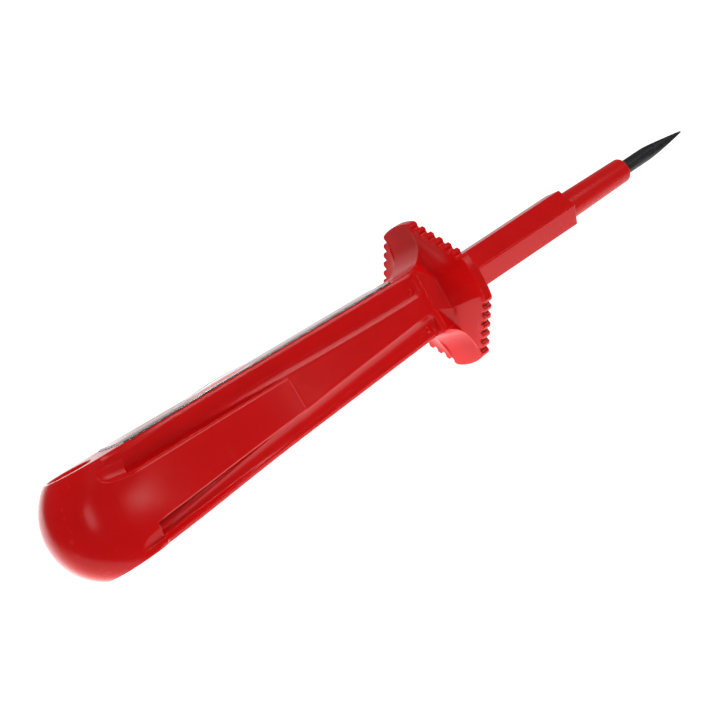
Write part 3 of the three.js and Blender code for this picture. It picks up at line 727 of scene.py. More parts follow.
def windowSeal():  # a frame under the lid, with a thin lip up its edge
    high = -window["plate"] - window["seat"]
    low, lip = high - window["seal"], window["gap"] - window["lipClear"]
    crest = window["proud"] - window["lipDrop"]
    steps = [(0, low), (-lip, low + 0.1), (-lip, crest - 0.05), (-lip + 0.05, crest)]
    sideEnd = windowRear + window["corner"]  # the lip runs along the sides and the front
    rings = []
    for inset, lift in steps:
        ring = [(x, y, lift if x > sideEnd else min(lift, high)) for x, y in windowOutline(inset)]
        rings.append([at(x, y, topHeight(x) + z) for x, y, z in ring])
    outer = loft("windowSeal", rings)
    combine(outer, topSlab("lidRoom", -0.01, high, window["above"]), "DIFFERENCE")
    combine(outer, topSlab("sealHole", window["sealWidth"], low - 1, window["above"]), "DIFFERENCE")
    return outer


# Contact train
train = {
    "capRadius": 2.5,
    "capWall": 0.35,
    "capEdge": 0.3,
    "seat": 0.1,
    "tailEnd": -18.5,
    "frontSpring": 10,
    "resistor": 20,
    "resistorCap": 4,
    "resistorWaist": 0.12,
    "lamp": 20,
    "lampCap": 4.5,
    "coreRadius": 2.05,
    "glassWall": 0.5,
    "strap": 0.5,
    "springRadius": 1.7,
    "springWire": 0.6,
    "springPitch": 1.9,
    "electrodeRadius": 0.35,
    "electrodeOffset": 0.6,
    "electrodeLength": 10.5,
    "leadRadius": 0.2,
    "leadLength": 4.2,
}
springFront = train["tailEnd"] - train["seat"]
resistorFront = springFront - train["frontSpring"] - train["seat"]
resistorRear = resistorFront - train["resistor"]
lampFront = resistorRear - train["seat"]
lampRear = lampFront - train["lamp"]
lampMiddle = (lampFront + lampRear) / 2
plateFront = chamberRear + train["seat"] + train["strap"]
rearSpringFront = lampRear - train["seat"]
rearSpringLength = rearSpringFront - plateFront - train["seat"]


def contactCap(name, closed, length, facing):  # a pressed cup: facing is the way it opens
    radius, wall, edge = train["capRadius"], train["capWall"], train["capEdge"]
    inner = radius - wall
    profile = [(closed + facing * 0.25, 0), (closed + facing * 0.2, 0.7)]  # a dimple in the closed end
    profile += [(closed, 1.1), (closed, radius - edge)]
    for a in quarterTurn(5)[1:]:
        profile.append((closed + facing * edge * (1 - math.cos(a)), radius - edge * (1 - math.sin(a))))
    rim = closed + facing * length
    profile += [(rim - facing * 0.9, radius), (rim - facing * 0.75, radius - 0.12)]  # a crimped line
    profile += [(rim - facing * 0.6, radius), (rim - facing * 0.1, radius)]
    profile += [(rim, radius - 0.1), (rim, inner + 0.05), (rim - facing * 0.05, inner)]
    floor = closed + facing * wall
    profile += [(floor, inner), (floor, 1.1), (floor + facing * 0.2, 0.7), (floor + facing * 0.25, 0)]
    return turned(name, profile)


def resistorCore():
    inset = train["capWall"] + train["seat"] + 0.1
    low, high = resistorRear + inset, resistorFront - inset
    radius, waist = train["coreRadius"], train["resistorWaist"]
    profile = [(low, 0)]
    for t in spread(40):
        x = lerp(low, high, t)
        belly = waist * smoothStep((min(t, 1 - t) - 0.2) / 0.12)
        profile.append((x, radius - belly))
    return turned("resistorCore", profile + [(high, 0)])


def lampTube():
    inset = train["capWall"] + train["seat"]
    low, high = lampRear + inset, lampFront - inset
    outer, inner = train["coreRadius"], train["coreRadius"] - train["glassWall"]
    profile = [(low, inner), (low, outer - 0.1), (low + 0.1, outer)]
    profile += [(high - 0.1, outer), (high, outer - 0.1), (high, inner)]
    return turned("lampTube", profile)


def lampElectrode(name, root, facing, side):
    inset = train["capWall"] + train["seat"] + 0.3
    start = root + facing * inset
    end = root + facing * (train["capWall"] + train["seat"] + train["electrodeLength"])
    lead = start + facing * train["leadLength"]
    radius, thin = train["electrodeRadius"], train["leadRadius"]
    profile = [(start, 0), (start, thin), (lead, thin)]
    profile += [(lead + facing * 0.15, radius - 0.05), (lead + facing * 0.25, radius)]
    profile += [(end - facing * 0.2, radius), (end - facing * 0.06, radius - 0.1), (end, 0)]
    rod = turned(name, profile, 32)
    rod.data.transform(Matrix.Translation((0, side * train["electrodeOffset"] * mm, 0)))
    return rod


def woundSpring(name, radius, wire, length, curls):  # wound along +Z at the origin, then placed
    bpy.ops.object.select_all(action="DESELECT")
    bpy.ops.mesh.primitive_circle_add(vertices=14, radius=wire / 2 * mm, rotation=(math.pi / 2, 0, 0),
                                      location=(radius * mm, 0, wire / 2 * mm))
    coil = bpy.context.object
    coil.name = name
    coil.data.name = name
    bpy.ops.object.transform_apply(location=True, rotation=True, scale=True)
    applyModifier(coil, "SCREW", axis="Z", angle=2 * math.pi, screw_offset=(length - wire) / curls * mm,
                  iterations=curls, steps=40, render_steps=40, use_normal_calculate=True)
    bpy.ops.object.mode_set(mode="EDIT")
    bpy.ops.mesh.select_all(action="DESELECT")
    bpy.ops.mesh.select_non_manifold()
    bpy.ops.mesh.edge_face_add()
    return closePiece(coil)


def trainSpring(name, front, length):
    curls = max(2, round((length - train["springWire"]) / train["springPitch"]))
    coil = woundSpring(name, train["springRadius"], train["springWire"], length, curls)
    coil.data.transform(Matrix.Translation(at(front, 0, 0)) @ Matrix.Rotation(-math.pi / 2, 4, "Y"))
    return coil


cradle = {"trough": 2.7, "wall": 0.85, "height": 3.0, "front": -15.8, "rearGap": 0.2, "edge": 0.15}


def componentCradle():
    trough, half = cradle["trough"], cradle["trough"] + cradle["wall"]
    section = [(-trough, cradle["height"]), (-half, cradle["height"]), (-half, -half), (half, -half)]
    section += [(half, cradle["height"]), (trough, cradle["height"])]
    section += [(trough * math.cos(-math.pi * t), trough * math.sin(-math.pi * t)) for t in spread(32)]
    piece = prismX("componentCradle", section, plateFront + cradle["rearGap"], cradle["front"])
    applyModifier(piece, "BEVEL", width=cradle["edge"] * mm, segments=3, limit_method="ANGLE",
                  angle_limit=math.radians(40))
    return piece


strap = {"halfWidth": 2.8, "underside": 2.0, "drop": 2.3, "bend": 0.8, "tail": 3.0, "edge": 0.08}


def strapBend(x, z, radius):  # a quarter turn from upright to level
    return [(x - radius * (1 - math.cos(a)), z - radius * (1 - math.sin(a))) for a in quarterTurn(8)]


def contactStrap():
    front, rear = plateFront, plateFront - train["strap"]
    bottom, top = strap["underside"], strap["underside"] + train["strap"]
    end = touchX - strap["tail"]
    outline = [(front, -strap["drop"])] + strapBend(front, top, strap["bend"])
    outline += [(end, top), (end, bottom)]
    outline += list(reversed(strapBend(rear, bottom, strap["bend"] - train["strap"])))
    outline += [(rear, -strap["drop"])]
    piece = prismY("contactStrap", outline, -strap["halfWidth"], strap["halfWidth"])
    applyModifier(piece, "BEVEL", width=strap["edge"] * mm, segments=2, limit_method="ANGLE",
                  angle_limit=math.radians(50))
    return piece


# Touch contact
button = {
    "radius": 3.5,
    "flangeRadius": 4.4,
    "flange": 1.0,
    "edge": 0.1,
    "proud": 0.3,
    "dome": 0.5,
    "turnedRing": (2.2, 0.16, 0.08),  # radius, width and depth
    "collarHeight": 1.6,
    "collarBore": 3.7,
    "collarRadius": 4.5,
    "collarChamfer": 0.25,
    "springRadius": 2.5,
    "springWire": 0.5,
    "springCurls": 3,
    "seat": 0.1,
}
dishFloor = touchTop - touch["dishDepth"]
collarTop = dishFloor - button["seat"]
collarBottom = collarTop - button["collarHeight"]
flangeTop = collarBottom - button["seat"]
flangeBottom = flangeTop - button["flange"]
springFloor = strap["underside"] + train["strap"] + button["seat"]
springLength = flangeBottom - button["seat"] - springFloor


def touchButton():
    top = dishFloor + button["proud"]
    radius, flange, edge = button["radius"], button["flangeRadius"], button["edge"]
    profile = [(0, flangeBottom), (flange - edge, flangeBottom), (flange, flangeBottom + edge)]
    profile += [(flange, flangeTop - edge), (flange - edge, flangeTop), (radius, flangeTop)]
    shoulder = top - button["dome"]
    middle, wide, deep = button["turnedRing"]
    for a in quarterTurn(18):
        lift = shoulder + button["dome"] * math.sin(a)
        ring = math.exp(-((radius * math.cos(a) - middle) / wide) ** 2)
        profile.append((radius * math.cos(a) if a < math.pi / 2 else 0, lift - deep * ring))
    return turnedUp("touchButton", profile, touchX, 72)


def buttonCollar():
    bore, outer, edge = button["collarBore"], button["collarRadius"], button["edge"]
    chamfer = button["collarChamfer"]
    profile = [(bore, collarBottom), (outer, collarBottom)]
    profile += [(outer, collarTop - edge), (outer - edge, collarTop)]
    profile += [(bore + chamfer, collarTop), (bore, collarTop - chamfer)]
    return turnedUp("buttonCollar", profile, touchX, 72)


def buttonSpring():
    radius, wire = button["springRadius"], button["springWire"]
    coil = woundSpring("buttonSpring", radius, wire, springLength, button["springCurls"])
    coil.data.transform(Matrix.Translation(at(touchX, 0, springFloor)))
    return coil


# Shared surface effects
def addNode(tree, kind, inputs=None, **settings):
    node = tree.nodes.new(kind)
    for key, value in settings.items():
        setattr(node, key, value)
    for key, value in (inputs or {}).items():
        node.inputs[key].default_value = value
    return node


def wire(tree, source, output, target, socket):
    tree.links.new(source.outputs[output], target.inputs[socket])


def ramp(tree, source, output, low, high, toLow=0.0, toHigh=1.0):  # a clamped change of range
    node = addNode(tree, "ShaderNodeMapRange", {1: low, 2: high, 3: toLow, 4: toHigh})
    wire(tree, source, output, node, 0)
    return node


def math2(tree, operation, first, second):  # each is a number, or a node and its output
    node = addNode(tree, "ShaderNodeMath", operation=operation)
    for k, value in enumerate((first, second)):
        if isinstance(value, tuple):
            wire(tree, value[0], value[1], node, k)
        else:
            node.inputs[k].default_value = value
    return node


def times(tree, first, second):
    return math2(tree, "MULTIPLY", first, second)


def offFrom(tree, first, second):  # how far apart two values are
    return math2(tree, "ABSOLUTE", (math2(tree, "SUBTRACT", first, second), 0), 0)


def blendColour(tree, mask, output, low, high):  # each colour is a value, or a node and its output
    node = addNode(tree, "ShaderNodeMix", data_type="RGBA")
    wire(tree, mask, output, node, 0)
    for socket, value in ((6, low), (7, high)):
        if isinstance(value[0], bpy.types.Node):
            wire(tree, value[0], value[1], node, socket)
        else:
            node.inputs[socket].default_value = (*value, 1)
    return node


def effectGroup(name, inputs, outputs):
    tree = bpy.data.node_groups.new(name, "ShaderNodeTree")
    for label, kind in inputs:
        tree.interface.new_socket(label, in_out="INPUT", socket_type=kind)
    for label in outputs:
        tree.interface.new_socket(label, in_out="OUTPUT", socket_type="NodeSocketFloat")
    return tree, tree.nodes.new("NodeGroupInput"), tree.nodes.new("NodeGroupOutput")


vectorIn = ("Place", "NodeSocketVector")
scaleIn = ("Scale", "NodeSocketFloat")


def noiseOver(tree, given, place, share, detail, roughness):  # at a share of the group's scale
    noise = addNode(tree, "ShaderNodeTexNoise", {"Detail": detail, "Roughness": roughness})
    wire(tree, *place, noise, "Vector")
    wire(tree, times(tree, (given, "Scale"), share), 0, noise, "Scale")
    return noise


def mouldedSkin():  # uneven tone, stray specks, fine rub marks and the tool's grain
    outputs = ["Tone", "Specks", "Rubs", "Grain"]
    tree, given, made = effectGroup("mouldedSkin", [vectorIn, scaleIn], outputs)
    place = (given, "Place")
    tone = noiseOver(tree, given, place, 0.12, 4, 0.55)
    wire(tree, ramp(tree, tone, 0, 0.3, 0.7), 0, made, "Tone")
    dots = addNode(tree, "ShaderNodeTexVoronoi", {"Randomness": 1})
    wire(tree, given, "Place", dots, "Vector")
    wire(tree, given, "Scale", dots, "Scale")
    near = ramp(tree, dots, "Distance", 0.14, 0.07)
    few = ramp(tree, noiseOver(tree, given, place, 0.5, 2, 0.5), 0, 0.56, 0.66)
    wire(tree, times(tree, (near, 0), (few, 0)), 0, made, "Specks")
    turn = addNode(tree, "ShaderNodeMapping", {"Rotation": (0.3, 0.5, 0.7), "Scale": (0.25, 3, 3)})
    wire(tree, given, "Place", turn, "Vector")
    streak = noiseOver(tree, given, (turn, "Vector"), 1, 3, 0.6)
    wire(tree, ramp(tree, streak, 0, 0.6, 0.74), 0, made, "Rubs")
    grain = noiseOver(tree, given, place, 5, 3, 0.6)
    wire(tree, grain, 0, made, "Grain")
    return tree


def drawnMetal():  # lines along the drawing or grinding direction, and dull patches
    inputs = [vectorIn, ("Stretch", "NodeSocketVector"), scaleIn]
    tree, given, made = effectGroup("drawnMetal", inputs, ["Lines", "Patches"])
    stretch = addNode(tree, "ShaderNodeVectorMath", operation="MULTIPLY")
    wire(tree, given, "Place", stretch, 0)
    wire(tree, given, "Stretch", stretch, 1)
    lines = noiseOver(tree, given, (stretch, 0), 1, 5, 0.65)
    wire(tree, ramp(tree, lines, 0, 0.3, 0.7), 0, made, "Lines")
    patches = noiseOver(tree, given, (given, "Place"), 0.3, 4, 0.6)
    wire(tree, ramp(tree, patches, 0, 0.42, 0.68), 0, made, "Patches")
    return tree


def edgeWearAndHighlight():  # convex outer edges made lighter: partly wear, partly a painted edge highlight
    tree, given, made = effectGroup("edgeWearAndHighlight", [("Breakup", "NodeSocketFloat")], ["Edge"])
    shape = addNode(tree, "ShaderNodeNewGeometry")
    edge = ramp(tree, shape, "Pointiness", 0.53, 0.6)
    wire(tree, times(tree, (edge, 0), (given, "Breakup")), 0, made, "Edge")
    return tree


skinGroup = mouldedSkin()
metalGroup = drawnMetal()
edgeGroup = edgeWearAndHighlight()


def startMaterial(name, **sockets):
    material = bpy.data.materials.new(name)
    material.use_nodes = True
    tree = material.node_tree
    shader = tree.nodes["Principled BSDF"]
    for key, value in sockets.items():
        shader.inputs[key.replace("_", " ")].default_value = value
    place = addNode(tree, "ShaderNodeTexCoord")
    return material, tree, shader, place


def useGroup(tree, group, place, **values):
    node = addNode(tree, "ShaderNodeGroup", node_tree=group)
    if place:
        wire(tree, place, "Object", node, "Place")
    for key, value in values.items():
        node.inputs[key].default_value = value
    return node


def placeParts(tree, place):
    parts = addNode(tree, "ShaderNodeSeparateXYZ")
    wire(tree, place, "Object", parts, 0)
    return parts


def coat(tree, shader, colour, rough):  # a colour mix and a range of roughness
    wire(tree, colour, 2, shader, "Base Color")
    wire(tree, rough, 0, shader, "Roughness")


def mixShaders(tree, mask, output, first, second, target):  # the second shows where the mask is 1
    mix = addNode(tree, "ShaderNodeMixShader")
    wire(tree, mask, output, mix, 0)
    wire(tree, first, 0, mix, 1)
    wire(tree, second, 0, mix, 2)
    wire(tree, mix, 0, tree.nodes[target], "Surface")


def useBump(tree, shader, source, output, strength, distance):
    bump = addNode(tree, "ShaderNodeBump", {"Strength": strength, "Distance": distance * mm})
    wire(tree, source, output, bump, "Height")
    wire(tree, bump, "Normal", shader, "Normal")


redFinish = {
    "main": (0.58, 0.0044, 0.0048),
    "uneven": (0.55, 0.0038, 0.0042),
    # used for rub marks and the seam, and also for lighter outer edges, partly a painted edge highlight
    "rubbedAndEdgeLit": (0.64, 0.025, 0.025),
    # this colour is used for stray specks and also for the painted highlight along the tongue's edges
    "speckAndEdgeHighlight": (0.68, 0.1, 0.095),
    "roughness": (0.18, 0.24),
    "gloss": 0.14,
    "depth": (0.25, 0.002),
    "grainScale": 1400,
    "seamHalfWidth": 0.07,
    "seamFrom": -100,
    "edgeLine": 0.26,
}


def tongueEdgeHighlight(tree, parts):  # painted highlight along the tongue's edges
    length = -groove["tongueBack"] - grooveRear
    high, low = groove["tongueFront"]
    slope = (groove["tongueRear"][0] - high) / length
    back = math2(tree, "SUBTRACT", at(-groove["tongueBack"], 0, 0).x, (parts, "X"))
    lift = offFrom(tree, (parts, "Z"), axisHeight + (high - low) / 2 * mm)
    wide = math2(tree, "MULTIPLY_ADD", (back, 0), -slope)
    wire(tree, lift, 0, wide, 2)
    across = math2(tree, "SUBTRACT", (wide, 0), (high + low) / 2 * mm)
    outside = math2(tree, "MAXIMUM", (across, 0), (times(tree, (back, 0), -1), 0))
    half = redFinish["edgeLine"] / 2 * mm
    off = math2(tree, "ABSOLUTE", (math2(tree, "ADD", (outside, 0), half), 0), 0)
    line = ramp(tree, off, 0, redFinish["edgeLine"] * mm, 0)
    ahead = ramp(tree, back, 0, length * mm, (length - 2) * mm)
    return times(tree, (line, 0), (ahead, 0))


def redPlastic():
    share, scale = redFinish["depth"]
    material, tree, shader, place = startMaterial(
        "redPlastic", IOR=1.5, Specular_IOR_Level=redFinish["gloss"], Subsurface_Weight=share,
        Subsurface_Radius=(1, 0.06, 0.06), Subsurface_Scale=scale)
    skin = useGroup(tree, skinGroup, place, Scale=redFinish["grainScale"])
    # outer edges lightened: partly wear, partly a painted edge highlight
    wornAndLitEdge = useGroup(tree, edgeGroup, None)
    wire(tree, skin, "Tone", wornAndLitEdge, "Breakup")
    tone = blendColour(tree, skin, "Tone", redFinish["uneven"], redFinish["main"])
    rubs = times(tree, (skin, "Rubs"), 0.25)
    edges = math2(tree, "MAXIMUM", (rubs, 0), (wornAndLitEdge, "Edge"))
    worn = times(tree, (edges, 0), 0.6)
    rubbedAndEdgeLit = blendColour(tree, worn, 0, (tone, 2), redFinish["rubbedAndEdgeLit"])
    specks = times(tree, (skin, "Specks"), 0.35)
    speckled = blendColour(tree, specks, 0, (rubbedAndEdgeLit, 2), redFinish["speckAndEdgeHighlight"])
    parts = placeParts(tree, place)  # the mould's joint line shows on the butt
    off = offFrom(tree, (parts, "Z"), axisHeight)
    line = ramp(tree, off, 0, redFinish["seamHalfWidth"] * mm, 0)
    start = at(redFinish["seamFrom"], 0, 0).x
    reach = ramp(tree, parts, "X", start + 2 * mm, start - 2 * mm)
    seam = times(tree, (line, 0), (reach, 0))
    faint = times(tree, (seam, 0), 0.35)
    lined = blendColour(tree, faint, 0, (speckled, 2), redFinish["rubbedAndEdgeLit"])
    # painted highlight along the tongue's edges, a light line in the speck colour
    edged = times(tree, (tongueEdgeHighlight(tree, parts), 0), 0.75)
    finish = blendColour(tree, edged, 0, (lined, 2), redFinish["speckAndEdgeHighlight"])
    dull = math2(tree, "MAXIMUM", (skin, "Rubs"), (skin, "Specks"))
    mixed = math2(tree, "ADD", (times(tree, (dull, 0), 0.6), 0),
                  (times(tree, (skin, "Tone"), 0.4), 0))
    coat(tree, shader, finish, ramp(tree, mixed, 0, 0, 1, *redFinish["roughness"]))
    height = math2(tree, "ADD", (times(tree, (seam, 0), 2), 0), (skin, "Grain"))
    useBump(tree, shader, height, 0, 0.12, 0.02)
    return material


sleeveFinish = {
    "main": (0.57, 0.007, 0.0075),
    "streak": (0.53, 0.0055, 0.006),
    # used for specks and for lighter outer edges, partly a painted edge highlight
    "rubbedAndEdgeLit": (0.68, 0.05, 0.05),
}


def sleevePlastic():
    material, tree, shader, place = startMaterial("sleevePlastic", IOR=1.5, Specular_IOR_Level=0.14)
    skin = useGroup(tree, skinGroup, place, Scale=1200)
    drawn = useGroup(tree, metalGroup, place, Stretch=(0.08, 1, 1), Scale=2600)
    # outer edges lightened: partly wear, partly a painted edge highlight
    wornAndLitEdge = useGroup(tree, edgeGroup, None)
    wire(tree, skin, "Tone", wornAndLitEdge, "Breakup")
    streaks = blendColour(tree, drawn, "Lines", sleeveFinish["streak"], sleeveFinish["main"])
    specks = times(tree, (skin, "Specks"), 0.3)
    marks = math2(tree, "MAXIMUM", (specks, 0), (times(tree, (wornAndLitEdge, "Edge"), 0.5), 0))
    worn = blendColour(tree, marks, 0, (streaks, 2), sleeveFinish["rubbedAndEdgeLit"])
    coat(tree, shader, worn, ramp(tree, drawn, "Patches", 0, 1, 0.3, 0.4))
    useBump(tree, shader, drawn, "Lines", 0.15, 0.01)
    return material


def glassOver(material, tree, shader, tint):  # lets light through to what lies behind
    through = addNode(tree, "ShaderNodeBsdfTransparent", {"Color": (*tint, 1)})
    rays = addNode(tree, "ShaderNodeLightPath")
    mixShaders(tree, rays, "Is Shadow Ray", shader, through, "Material Output")
    return material


def clearPlastic():
    material, tree, shader, place = startMaterial("clearPlastic", IOR=1.49, Transmission_Weight=1.0)
    skin = useGroup(tree, skinGroup, place, Scale=1000)
    tone = blendColour(tree, skin, "Tone", (0.93, 0.95, 0.95), (0.97, 0.98, 0.975))
    marks = math2(tree, "MAXIMUM", (skin, "Rubs"), (skin, "Specks"))
    coat(tree, shader, tone, ramp(tree, marks, 0, 0, 1, 0.05, 0.16))
    useBump(tree, shader, skin, "Tone", 0.06, 0.03)
    return glassOver(material, tree, shader, (0.94, 0.95, 0.95))


def lampGlass():
    material, tree, shader, place = startMaterial("lampGlass", IOR=1.5, Transmission_Weight=1.0)
    drawn = useGroup(tree, metalGroup, place, Stretch=(0.1, 1, 1), Scale=900)
    tone = blendColour(tree, drawn, "Patches", (0.97, 0.93, 0.88), (0.9, 0.82, 0.74))
    coat(tree, shader, tone, ramp(tree, drawn, "Patches", 0, 1, 0.02, 0.07))
    return glassOver(material, tree, shader, (0.95, 0.92, 0.88))


def blackRubber():
    material, tree, shader, place = startMaterial("blackRubber", IOR=1.48)
    skin = useGroup(tree, skinGroup, place, Scale=1800)
    tone = blendColour(tree, skin, "Tone", (0.006, 0.006, 0.0065), (0.014, 0.014, 0.014))
    coat(tree, shader, tone, ramp(tree, skin, "Grain", 0.3, 0.7, 0.55, 0.75))
    useBump(tree, shader, skin, "Grain", 0.4, 0.02)
    return material


def whitePlastic():
    material, tree, shader, place = startMaterial("whitePlastic", IOR=1.5)
    skin = useGroup(tree, skinGroup, place, Scale=1300)
    tone = blendColour(tree, skin, "Tone", (0.76, 0.75, 0.7), (0.84, 0.83, 0.79))
    specks = times(tree, (skin, "Specks"), 0.4)
    spotted = blendColour(tree, specks, 0, (tone, 2), (0.55, 0.53, 0.48))
    coat(tree, shader, spotted, ramp(tree, skin, "Grain", 0.3, 0.7, 0.4, 0.55))
    useBump(tree, shader, skin, "Grain", 0.2, 0.02)
    return material


bladeFinish = {"black": (0.012, 0.012, 0.0135), "worn": (0.1, 0.1, 0.105), "bare": (0.36, 0.36, 0.37)}


def blackSteel():
    material, tree, shader, place = startMaterial("blackSteel", Metallic=0.3, Specular_IOR_Level=0.22)
    drawn = useGroup(tree, metalGroup, place, Stretch=(0.06, 1, 1), Scale=3200)
    ground = useGroup(tree, metalGroup, place, Stretch=(1, 0.05, 0.3), Scale=4200)
    # outer edges turned bare grey: partly wear, partly a painted edge highlight
    wornAndLitEdge = useGroup(tree, edgeGroup, None)
    wire(tree, drawn, "Patches", wornAndLitEdge, "Breakup")
    parts = placeParts(tree, place)
    begin = at(blade["tip"] - blade["ground"], 0, 0).x
    tip = ramp(tree, parts, "X", begin + 1 * mm, begin + 2 * mm)
    lines = addNode(tree, "ShaderNodeMix")
    wire(tree, tip, 0, lines, 0)
    wire(tree, drawn, "Lines", lines, 2)
    wire(tree, ground, "Lines", lines, 3)
    scored = times(tree, (math2(tree, "POWER", (lines, 0), 3.0), 0), 0.5)
    finish = blendColour(tree, scored, 0, bladeFinish["black"], bladeFinish["worn"])
    end = at(blade["tip"], 0, 0).x
    used = times(tree, (ramp(tree, parts, "X", end - 1.2 * mm, end), 0), (ground, "Lines"))
    marks = math2(tree, "MAXIMUM", (used, 0), (wornAndLitEdge, "Edge"))
    rubbedAndEdgeLit = times(tree, (marks, 0), 0.7)
    bare = blendColour(tree, rubbedAndEdgeLit, 0, (finish, 2), bladeFinish["bare"])
    coat(tree, shader, bare, ramp(tree, lines, 0, 0, 1, 0.3, 0.48))
    useBump(tree, shader, lines, 0, 0.25, 0.01)
    return material


def brightMetal(name, bright, dull, stretch, roughness):
    material, tree, shader, place = startMaterial(name, Metallic=1.0)
    drawn = useGroup(tree, metalGroup, place, Stretch=stretch, Scale=2400)
    tone = blendColour(tree, drawn, "Patches", bright, dull)
    coat(tree, shader, tone, ramp(tree, drawn, "Lines", 0, 1, *roughness))
    useBump(tree, shader, drawn, "Lines", 0.15, 0.01)
    return material


def turnedNickel():  # the touch contact's face carries the lathe's rings
    material, tree, shader, place = startMaterial("turnedNickel", Metallic=1.0)
    drawn = useGroup(tree, metalGroup, place, Stretch=(1, 1, 1), Scale=900)
    tone = blendColour(tree, drawn, "Patches", (0.64, 0.62, 0.57), (0.5, 0.48, 0.43))
    coat(tree, shader, tone, ramp(tree, drawn, "Patches", 0, 1, 0.18, 0.34))
    centre = addNode(tree, "ShaderNodeMapping", {"Location": -at(touchX, 0, 0)})
    wire(tree, place, "Object", centre, "Vector")
    rings = addNode(tree, "ShaderNodeTexWave", {"Scale": 900, "Distortion": 0.6, "Detail": 2},
                    wave_type="RINGS", rings_direction="Z")
    wire(tree, centre, "Vector", rings, "Vector")
    useBump(tree, shader, rings, "Fac", 0.12, 0.02)
    return material


resistorFinish = {
    "body": (0.42, 0.22, 0.09),
    "bands": (  # share of the length, and paint
        (0.3, (0.13, 0.035, 0.012)),
        (0.42, (0.008, 0.008, 0.008)),
        (0.54, (0.6, 0.45, 0.02)),
        (0.7, (0.45, 0.28, 0.05))),
    "halfBand": 0.03,
}


def resistorLacquer():  # painted rings round the body
    material, tree, shader, place = startMaterial("resistorLacquer", IOR=1.52, Coat_Weight=0.4)
    skin = useGroup(tree, skinGroup, place, Scale=1500)
    parts = placeParts(tree, place)
    body, half = resistorFinish["body"], resistorFinish["halfBand"]
    colour = blendColour(tree, skin, "Tone", body, [0.85 * c for c in body])
    along = ramp(tree, parts, "X", at(resistorRear, 0, 0).x, at(resistorFront, 0, 0).x)
    for share, paint in resistorFinish["bands"]:
        off = offFrom(tree, (along, 0), share)
        wavy = math2(tree, "ADD", (off, 0), (times(tree, (skin, "Grain"), 0.006), 0))
        mask = ramp(tree, wavy, 0, half + 0.008, half)
        colour = blendColour(tree, mask, 0, (colour, 2), paint)
    coat(tree, shader, colour, ramp(tree, skin, "Tone", 0, 1, 0.22, 0.34))
    useBump(tree, shader, skin, "Tone", 0.1, 0.05)
    return material


finishes = {
    "red_plastic": redPlastic(),
    "sleeve_plastic": sleevePlastic(),
    "clear_plastic": clearPlastic(),
    "black_rubber": blackRubber(),
    "white_plastic": whitePlastic(),
    "black_steel": blackSteel(),
    "spring_steel": brightMetal(
        "springSteel", (0.56, 0.57, 0.6), (0.42, 0.43, 0.45), (0.2, 1, 1), (0.2, 0.36)),
    "brass": brightMetal("pressedBrass", (0.72, 0.46, 0.13), (0.5, 0.3, 0.09), (1, 1, 1), (0.18, 0.36)),
    "nickel": turnedNickel(),
    "resistor_lacquer": resistorLacquer(),
    "lamp_glass": lampGlass(),
}
print("finishes made:", len(finishes))


# Putting the pieces on the frame
def dress(piece, node, slot, body="tester", angle=35):
    selectOnly(piece)
    if angle:
        bpy.ops.object.shade_smooth_by_angle(angle=math.radians(angle))
    piece.data.materials.clear()
    piece.data.materials.append(finishes[slot])
    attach(piece, body)
    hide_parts(node)
    return piece


shell = softenShell(handleShell())
dress(shell, "handle_body", "red_plastic", angle=None)
print("handle moulded:", len(shell.data.polygons), "faces")
dress(windowCover(), "window_cover", "clear_plastic")
dress(windowSeal(), "window_seal", "black_rubber")
dress(sleeveTube(), "blade_sleeve", "sleeve_plastic")
dress(bladeRod(), "blade", "black_steel", angle=25)
dress(lockWasher(), "blade_lock_ring", "spring_steel")
dress(componentCradle(), "component_cradle", "white_plastic")
print("window, blade, sleeve and cradle made")
frontSpring = trainSpring("frontSpring", springFront, train["frontSpring"])
dress(frontSpring, "front_spring", "spring_steel", angle=60)
rearSpring = trainSpring("rearSpring", rearSpringFront, rearSpringLength)
dress(rearSpring, "rear_spring", "spring_steel", angle=60)
dress(resistorCore(), "resistor_body", "resistor_lacquer")
cap = train["resistorCap"]
dress(contactCap("resistorCapFront", resistorFront, cap, -1), "resistor_cap_front", "brass")
dress(contactCap("resistorCapRear", resistorRear, cap, 1), "resistor_cap_rear", "brass")
cap = train["lampCap"]
dress(contactCap("lampCapFront", lampFront, cap, -1), "lamp_cap_front", "brass")
dress(contactCap("lampCapRear", lampRear, cap, 1), "lamp_cap_rear", "brass")
dress(lampTube(), "lamp_glass", "lamp_glass")
dress(lampElectrode("lampElectrodeFront", lampFront, -1, 1), "lamp_electrode_front", "nickel")
dress(lampElectrode("lampElectrodeRear", lampRear, 1, -1), "lamp_electrode_rear", "nickel")
dress(contactStrap(), "contact_strap", "brass")
print("contact train made")
dress(touchButton(), "touch_button", "nickel", body="touch_contact")
dress(buttonCollar(), "button_collar", "red_plastic")
returnSpring = dress(buttonSpring(), "button_spring", "spring_steel", angle=60)
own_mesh(returnSpring)
print("touch contact made")

# Stage: the tool lies on its guard's far toothed flat and its butt, on a white table in a dim room
stage = {
    "up": (-0.02, -0.73, 0.68),
    "floor": (0.15, 0.15, 0.15),
    "white": 1.1,
    "glow": (0.5, 0.12),  # on the light table and past it
    "tableReach": (150, 260),
    "spots": (  # x, y, stretch, reach and glow; True shows only in reflections
        (-45, -45, 0.35, 30, 80, 1.95, False),
        (-118, 30, 1, 10, 55, 3.2, True),
        (-15, 105, 1, 25, 65, 0.8, True)),
    "floorSize": 3,
    "room": (0.08, 0.3),  # as light, and in reflections
    "backdrop": 1.2,
    "lit": -20,  # the station that the lights face
}
up = Vector(stage["up"]).normalized()


def lowestPoint():
    return min(up.dot(corner.co) for corner in shell.data.vertices)


def facing(direction):  # turns an object's -Z along the direction
    return direction.to_track_quat("-Z", "Y").to_matrix().to_4x4()


